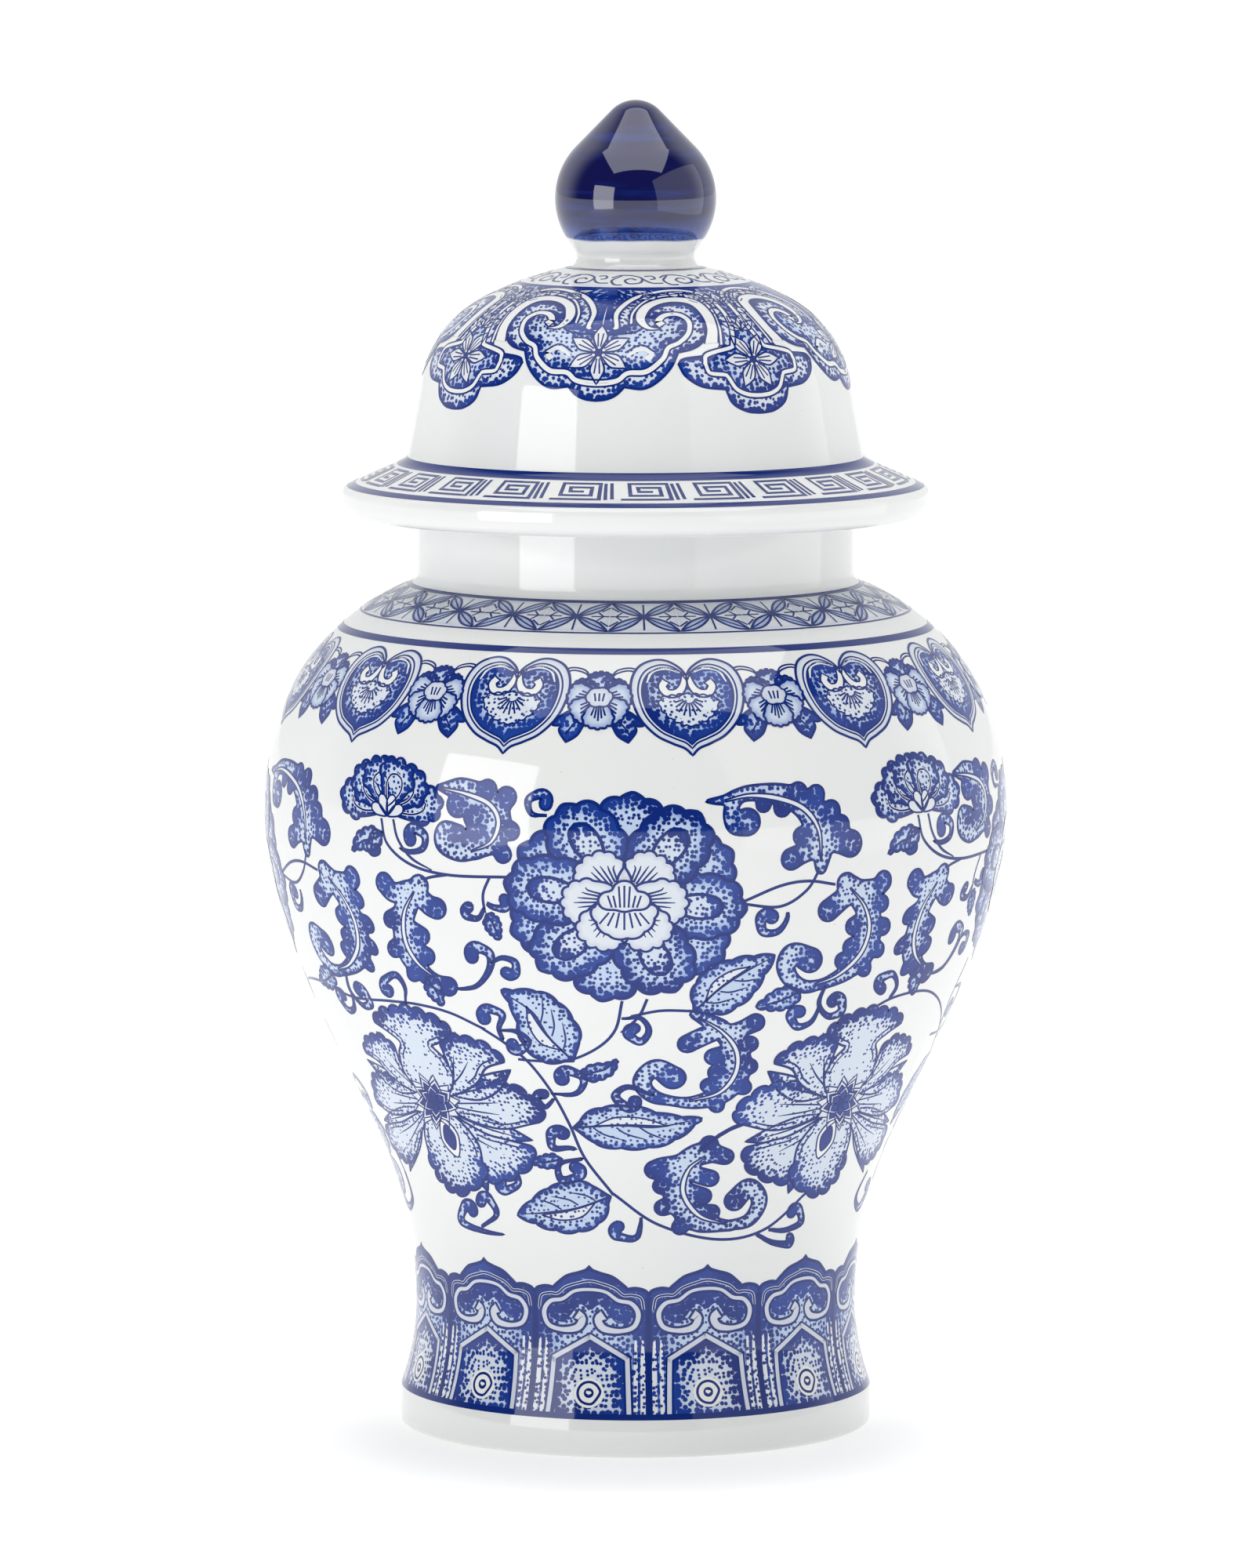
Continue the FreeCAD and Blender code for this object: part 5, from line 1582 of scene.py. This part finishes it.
def low_middle():
    """The main stem with its leaves and curls, under the great flower."""
    return sprig(
        vines=[[(-36, -8.6), (-30, -12.4), (-24.4, -17.2), (-19, -25), (-15, -33.4),
             (-11.4, -42.6), (-5, -52)], [(-24, -16.6), (-27, -16.4)],
            [(-1, -4.4), (5.6, -3), (13, -3.2)]],
        leaves=[((-14, -16.4), (-29, 3.4), 24, 12.5, -2.4),
            ((13, -3.4), (31.6, 11.8), 23, 10.5, 1.6),
            ((-14.2, -34.2), (15.4, -33.6), 29, 10.5, -1.6),
            ((-12.4, -20.8), (-4.4, -17.2), 9.4, 3.6, -1.0),
            ((-16.8, -42.8), (-23.6, -44.6), 7.4, 3.0, 0.6)],
        curls=[([(-30, -12.6), (-31.6, -8.6), (-30.6, -5), (-33.6, -3.6)], 1.9),
            ([(-31.4, -9), (-27.4, -9), (-24.6, -11.4), (-26, -13.6)], 1.7),
            ([(-3, -5), (1, -4.8), (3, -8), (1.2, -11), (-1.2, -9.6)], 1.5),
            ([(-19, -25.4), (-13.4, -25), (-11.6, -21), (-14.8, -19)], 1.9),
            ([(-18.6, -26.6), (-20.6, -29), (-22.4, -27.4)], 1.5),
            ([(-11.6, -41.6), (-14.4, -39.8), (-18.8, -40), (-19.4, -36.8)], 1.9),
            ([(-12, -42.6), (-17.4, -44.2), (-17, -48.4), (-13.4, -47.6)], 1.7),
            ([(4, -25.4), (-1.6, -23), (-4.6, -25.4), (-2.4, -28.2)], 1.7)],
        clumps=[([[(13, -4, 0.8), (18.8, -7.6, 2.0), (22.8, -13.4, 2.5), (23.4, -19.4, 2.7),
             (20, -25, 2.2), (13, -27.4, 1.3), (5, -26.4, 0.7)],
            [(19, -8, 2.2), (14, -10.4, 2.2), (9.8, -12.6, 1.7)],
            [(21, -9.6, 2.2), (26, -7.4, 1.9), (29, -6, 1.2)],
            [(22.6, -12.6, 2.0), (27, -12.2, 1.5)], [(23.2, -17, 2.0), (26.8, -18.6, 1.5)],
            [(22.2, -21.6, 1.9), (25.4, -24.4, 1.4)], [(18, -26, 1.6), (18.6, -29.2, 1.3)],
            [(22, -14, 2.0), (16.6, -15.6, 1.6)], [(22, -19, 1.9), (17.4, -19.6, 1.5)],
            [(20, -23.4, 1.6), (15.6, -22.8, 1.4)],
            [(10, -27.2, 0.8), (4, -25.6, 1.5), (1.4, -21.6, 1.9), (4.4, -18, 2.1),
             (8, -19, 2.2)]],
            [(14, -4.8), (19.6, -8.8), (23, -14), (22.8, -20), (19, -25), (12, -27)])])


def low_bottom():
    """The lowest bend of the stem, with its leaf, leafage and curls."""
    return sprig(
        vines=[[(-5.2, -51.6), (5, -59.4), (19, -63.6), (31, -62), (42, -54.6), (48, -50)]],
        leaves=[((-5.6, -52.4), (-27.4, -59.4), 23, 11.5, 1.4)],
        curls=[([(14, -41), (20, -36), (26.6, -33.4), (34, -34)], 0.5),
            ([(-30.6, -63.6), (-38.6, -63), (-44.6, -61.4), (-43.4, -57.8)], 1.8),
            ([(-38, -62), (-33.6, -58.6), (-35.6, -54.8)], 1.7),
            ([(1.4, -57.4), (0.2, -62.6), (-3.8, -62.4)], 1.6),
            ([(31.4, -62), (36.6, -62.8), (41.6, -61.4), (41, -58.4)], 1.6),
            ([(28, -62.6), (33, -65.4), (37.6, -66.4)], 1.2)],
        clumps=[([[(22, -60.6, 0.9), (13.4, -58.4, 2.2), (9.4, -52, 2.7), (10.6, -45, 2.8),
             (15.4, -41, 2.6), (20.6, -42.4, 1.9)],
            [(12, -43.6, 2.4), (6.6, -44.4, 2.2), (2.6, -45.8, 1.8)],
            [(10, -49, 2.0), (5, -49.8, 1.6)], [(9.6, -53.6, 1.9), (5.4, -55.6, 1.5)],
            [(12, -57.6, 1.7), (9.6, -60.8, 1.4)], [(13, -46.6, 2.0), (18, -48.4, 1.6)],
            [(11.6, -51, 1.9), (16.4, -53, 1.5)], [(14, -56.6, 1.7), (18.4, -56.8, 1.4)],
            [(16, -42, 2.0), (17, -37.8, 1.2)],
            [(20, -60.4, 0.9), (26.6, -59.4, 1.4), (29.4, -54.6, 1.9), (26.6, -51, 2.1),
             (23.8, -52.6, 1.9)]],
            [(21, -60), (14.4, -57.4), (10.8, -51.6), (12, -45.6), (16, -42)])])


def low_right():
    """The stem and the curl above the lotus on the right."""
    return sprig(
        vines=[[(56, -7), (66, -3.6), (78, -3.2), (86, -6.0), (92, -11), (95.6, -17)]],
        curls=[([(64.6, -3.8), (67, -0.6), (65.2, 2.6), (61.6, 2.0)], 1.8)])


def lotus_bloom(mirror):
    """A lotus whose lower half is slid sideways, to look upright on the tapering side."""
    return Drawing().add(lotus().lean(0.4), mirror=mirror, lift=1)


def low_gap():
    """The stems, leaves and curls at the jar's sides, between one lotus and the next."""
    return sprig(
        vines=[[(-19, 2), (-21, -8), (-15, -19), (-4, -27), (8, -31), (18, -40), (20, -52)],
            [(-15, -19), (-6, -12), (4, -10)]],
        leaves=[((-6, -26), (9, -14.6), 19, 9.5, 1.6), ((-10, -22.6), (-19, -39), 19, 9.5, -1.6),
            ((16.4, -38), (4, -51), 18, 8.5, -1.6)],
        curls=[([(4, -10), (8.4, -8.6), (11, -5), (8, -2.4), (5.6, -4.4)], 1.8),
            ([(-3, -11.4), (-4.4, -6), (-1.4, -2.4), (2, -4)], 1.8),
            ([(-20.6, -5), (-14.6, -5.4), (-12.4, -9.4), (-15.4, -11.6)], 1.8),
            ([(8, -31), (14.6, -28.4), (19, -31.4), (17.4, -34.6)], 1.7),
            ([(-19, -52), (-21, -58), (-16.4, -61.4), (-12.6, -58.6)], 1.8),
            ([(20, -52), (18.6, -58.6), (13, -61.6), (9.4, -60)], 1.6)],
        clumps=[([[(10, -33.4, 0.8), (2.6, -36, 1.9), (-3.4, -42, 2.5), (-4.4, -49, 2.6),
             (0, -55, 2.1), (6.6, -57.4, 1.2)],
            [(-2, -40, 2.2), (-7.4, -38.6, 2.0), (-11.4, -40.4, 1.6)],
            [(-4, -45, 2.0), (-9, -46.4, 1.5)], [(-3.6, -51, 1.9), (-7.4, -54.6, 1.4)],
            [(-3, -44.6, 1.9), (2.4, -45.6, 1.4)], [(-1.6, -53.6, 1.7), (-1.6, -58.4, 1.4)],
            [(5, -57, 0.9), (11.4, -57, 1.5), (13.6, -52.6, 1.9), (10.4, -50.4, 1.9)]],
            [(9, -34), (2, -37), (-3, -42.4), (-3.8, -49), (0.6, -54.6)])])


# ---------------------------------------------------------------- painted decoration
def paint_borders():
    """The borders of the foot, the shoulder and the neck."""
    zero = jar_face.at_height(FOOT_LEVEL)
    panel, step = foot_panel(), 360 / FOOT_PANELS
    for k in range(4):
        placed = [(panel, FOOT_TURN + 90 * k + step * n, zero) for n in (-1, 0, 1)]
        paint_piece("foot_border_%d" % k, placed, jar_face, steady=jar_face.radius_at(zero))
    zero = jar_face.at_height(SHOULDER_LEVEL)
    radius = jar_face.radius_at(zero + NECK_MIDDLE)
    hearts, flowers, diaper = heart(), shoulder_flower(), neck_diaper()
    rings = [ring_part(level, math.radians(30.05) * radius, width)
             for level, width in NECK_RINGS]
    for k in range(6):
        turns = [SHOULDER_TURN + 60 * k, SHOULDER_TURN + 60 * k + 30]
        placed = [(hearts, turn, zero) for turn in turns]
        placed += [(flowers, turn - 15, zero) for turn in turns]
        paint_piece("shoulder_border_%d" % k, placed, jar_face, SHOULDER_LAYER)
        start = 60 * k + NECK_TURN
        placed = [(ring, start + 22.5, zero) for ring in rings]
        placed += [(diaper, start + 15 * n, zero) for n in range(4)]
        paint_piece("neck_border_%d" % k, placed, jar_face, BORDER_LAYER, radius)


def paint_lid():
    """The borders of the lid."""
    zero = lid_face.at_height(LID_LEVEL)
    cloud, pendant = lid_cloud(), lid_pendant()
    for k in range(LID_UNITS):
        for name, art, turn in (("lid_pendant_%d", pendant, PENDANT_TURN),
                                ("lid_cloud_%d", cloud, CLOUD_TURN)):
            paint_piece(name % k, [(art, turn + 90 * k, zero)], lid_face, BORDER_LAYER)
    rows = [(name, ring_part(0, math.pi / 4 * radius, width), 4, 0, radius)
            for name, radius, width in LID_RINGS]
    rows += [("lid_scroll", scroll_unit(), SCROLL_UNITS, 0, SCROLL_RADIUS),
             ("lid_key", key_unit(), KEY_UNITS, KEY_TURN, KEY_RADIUS)]
    for name, art, count, turn, radius in rows:
        place = lid_face.at_radius(radius)
        paint_piece(name, [(art, 360 / count * k + turn, place) for k in range(count)],
                    lid_face, BORDER_LAYER, radius)


def paint_belly():
    """The flowers and leafage on the belly: some groups four times round, some twice."""
    zero = jar_face.at_height(BELLY_ZERO)
    upper = (("peony", peony_group()), ("scroll", scroll_group()), ("bud", bud_group()),
             ("side", side_group()))
    for k in range(4):
        for name, art in upper:
            paint_piece("%s_%d" % (name, k), [(art, 90 * k, zero)], jar_face)
    lower = (("stem_left", low_left(), 0, 0), ("stem_middle", low_middle(), 0, 0),
             ("stem_bottom", low_bottom(), 0, 0), ("stem_right", low_right(), 0, 0),
             ("lotus_bloom_left", lotus_bloom(True), -43.6, -30.0),
             ("lotus_bloom_right", lotus_bloom(False), 45.2, -30.5),
             ("stem_side", low_gap(), 90, 0))
    for k in range(2):
        for name, art, turn, rise in lower:
            paint_piece("%s_%d" % (name, k), [(art, turn + 180 * k, zero + rise)], jar_face)


# ---------------------------------------------------------------- camera, light and floor
CAMERA_DISTANCE, CAMERA_HEIGHT, CAMERA_DIP = 2300.0, 400.0, 6.26
CAMERA_LENS, CAMERA_SHIFT = 230.8, -0.0055
# How brightly the floor glows as a light of its own: least under the jar, as a painted shadow,
# more near it and most far from it; and the distances from the painted shadow's middle, in metres,
# over which that changes.
PAINTED_SHADOW_GLOW, FLOOR_GLOW_NEAR, FLOOR_GLOW_FAR = 0.54, 0.78, 0.92
PAINTED_SHADOW_MIDDLE, PAINTED_SHADOW_EDGE, FAR_EDGE = (0, -0.035, 0), (0.045, 0.096), (0.15, 1.5)
FLOOR_HALF, FLOOR_GREY = 30.0, (0.50, 0.50, 0.50, 1)
# How bright the studio is behind the camera and behind the jar, and where that changes.
STUDIO_DARK, STUDIO_BRIGHT, STUDIO_EDGE = 0.08, 0.92, (-0.05, 0.55)
STUDIO_TINT = (0.98, 0.99, 1.0, 1)
# Each lamp's name, azimuth and elevation in degrees, distance, width and height in metres,
# and brightness. Azimuth 0 is the camera's side, and 90 the picture's right.
LAMPS = (("left_softbox", -47, 8, 1.2, 0.66, 0.76, 3.1),
         ("right_softbox", 72, 12, 0.8, 1.40, 1.05, 0.62),
         ("top_softbox", 4, 76, 0.9, 1.05, 0.76, 1.95))
LAMP_AIM = 0.14


def set_camera():
    """The camera stands in front of the jar, a little above it, and looks slightly down."""
    camera = bpy.data.cameras.new("camera")
    camera.sensor_fit = "VERTICAL"
    camera.sensor_height = 36.0
    camera.lens = CAMERA_LENS
    camera.shift_x = CAMERA_SHIFT
    holder = bpy.data.objects.new("camera", camera)
    holder.location = (0, -CAMERA_DISTANCE * MM, CAMERA_HEIGHT * MM)
    holder.rotation_euler = (math.radians(90 - CAMERA_DIP), 0, 0)
    bpy.context.scene.collection.objects.link(holder)
    bpy.context.scene.camera = holder
    bpy.context.scene.view_settings.view_transform = "Standard"


def panel_light(name, azimuth, elevation, distance, width, height, brightness):
    """A soft rectangular lamp that points at the jar."""
    lamp = bpy.data.lights.new(name, "AREA")
    lamp.shape = "RECTANGLE"
    lamp.size = width
    lamp.size_y = height
    lamp.energy = brightness * math.pi * width * height
    holder = bpy.data.objects.new(name, lamp)
    side, rise = math.radians(azimuth), math.radians(elevation)
    target = Vector((0, 0, LAMP_AIM))
    holder.location = target + distance * Vector((
        math.cos(rise) * math.sin(side), -math.cos(rise) * math.cos(side), math.sin(rise)))
    holder.rotation_euler = (target - holder.location).to_track_quat("-Z", "Y").to_euler()
    bpy.context.scene.collection.objects.link(holder)


def set_floor():
    """A pale floor that glows as a light of its own, and glows less under the jar as a painted
    shadow, so that only a small shadow shows.
    """
    mesh = bpy.data.meshes.new("floor")
    corners = [(-FLOOR_HALF, -FLOOR_HALF, 0), (FLOOR_HALF, -FLOOR_HALF, 0),
               (FLOOR_HALF, FLOOR_HALF, 0), (-FLOOR_HALF, FLOOR_HALF, 0)]
    mesh.from_pydata(corners, [], [(0, 1, 2, 3)])
    floor = bpy.data.objects.new("floor", mesh)
    bpy.context.scene.collection.objects.link(floor)
    nodes = Nodes("glowing_floor_painted_shadow")
    nodes.shader.inputs["Base Color"].default_value = FLOOR_GREY
    nodes.shader.inputs["Specular IOR Level"].default_value = 0.0
    nodes.shader.inputs["Emission Color"].default_value = (1, 1, 1, 1)
    away = nodes.add("ShaderNodeVectorMath", {0: nodes.object_place(), 1: PAINTED_SHADOW_MIDDLE},
                     operation="DISTANCE")
    # The glow is dimmed round the painted shadow's middle, which paints a shadow under the jar,
    # and it rises again far away.
    near = nodes.spread(away.outputs["Value"], *PAINTED_SHADOW_EDGE, PAINTED_SHADOW_GLOW, FLOOR_GLOW_NEAR)
    far = nodes.spread(away.outputs["Value"], *FAR_EDGE, 0.0, FLOOR_GLOW_FAR - FLOOR_GLOW_NEAR)
    nodes.feed(nodes.shader, "Emission Strength", nodes.math("ADD", near, far))
    mesh.materials.append(nodes.finish(None, None, Roughness=0.9))


def set_studio():
    """A studio that is bright behind the object and dark behind the camera."""
    world = bpy.data.worlds.new("studio")
    bpy.context.scene.world = world
    world.use_nodes = True
    tree = world.node_tree
    place = tree.nodes.new("ShaderNodeTexCoord")
    split = tree.nodes.new("ShaderNodeSeparateXYZ")
    tree.links.new(place.outputs["Generated"], split.inputs[0])
    ramp = tree.nodes.new("ShaderNodeMapRange")
    ramp.interpolation_type = "SMOOTHSTEP"
    for socket, value in zip(("From Min", "From Max", "To Min", "To Max"),
                             (*STUDIO_EDGE, STUDIO_DARK, STUDIO_BRIGHT)):
        ramp.inputs[socket].default_value = value
    tree.links.new(split.outputs["Y"], ramp.inputs["Value"])
    tree.links.new(ramp.outputs["Result"], tree.nodes["Background"].inputs["Strength"])
    tree.nodes["Background"].inputs["Color"].default_value = STUDIO_TINT
    for lamp in LAMPS:
        panel_light(*lamp)


# ---------------------------------------------------------------- build
set_camera()
set_floor()
set_studio()

porcelain = porcelain_material()
painting = painted_material()
inked = inked_material()
jar_face = Surface(jar_outside(), "jar")
lid_face = Surface(lid_outside(), "lid")
biscuit = biscuit_material()

recess_line, jar_line = jar_glazed_outline()
jar_shell = lathe("jar_porcelain", jar_line, "jar", porcelain)
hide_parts("jar_body")
lathe("jar_recess", recess_line[::-1], "jar", porcelain,
      HIDDEN_STEPS)
lathe("jar_foot_ring_bare", [(recess_line[-1][0], 0), (jar_line[0][0], 0)], "jar",
      biscuit, HIDDEN_STEPS)
lid_piece = lathe("lid_porcelain", lid_outline(), "lid", porcelain)
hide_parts("lid_shell")
ring_piece = lathe("lid_ring_bare", ring_outline(), "lid", biscuit,
                   HIDDEN_STEPS)
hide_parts("lid_locating_ring")
knob_piece = lathe("knob_glazed", knob_outline(), "lid", knob_material(),
                   KNOB_STEPS)
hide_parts("lid_knob")
paint_borders()
paint_lid()
paint_belly()
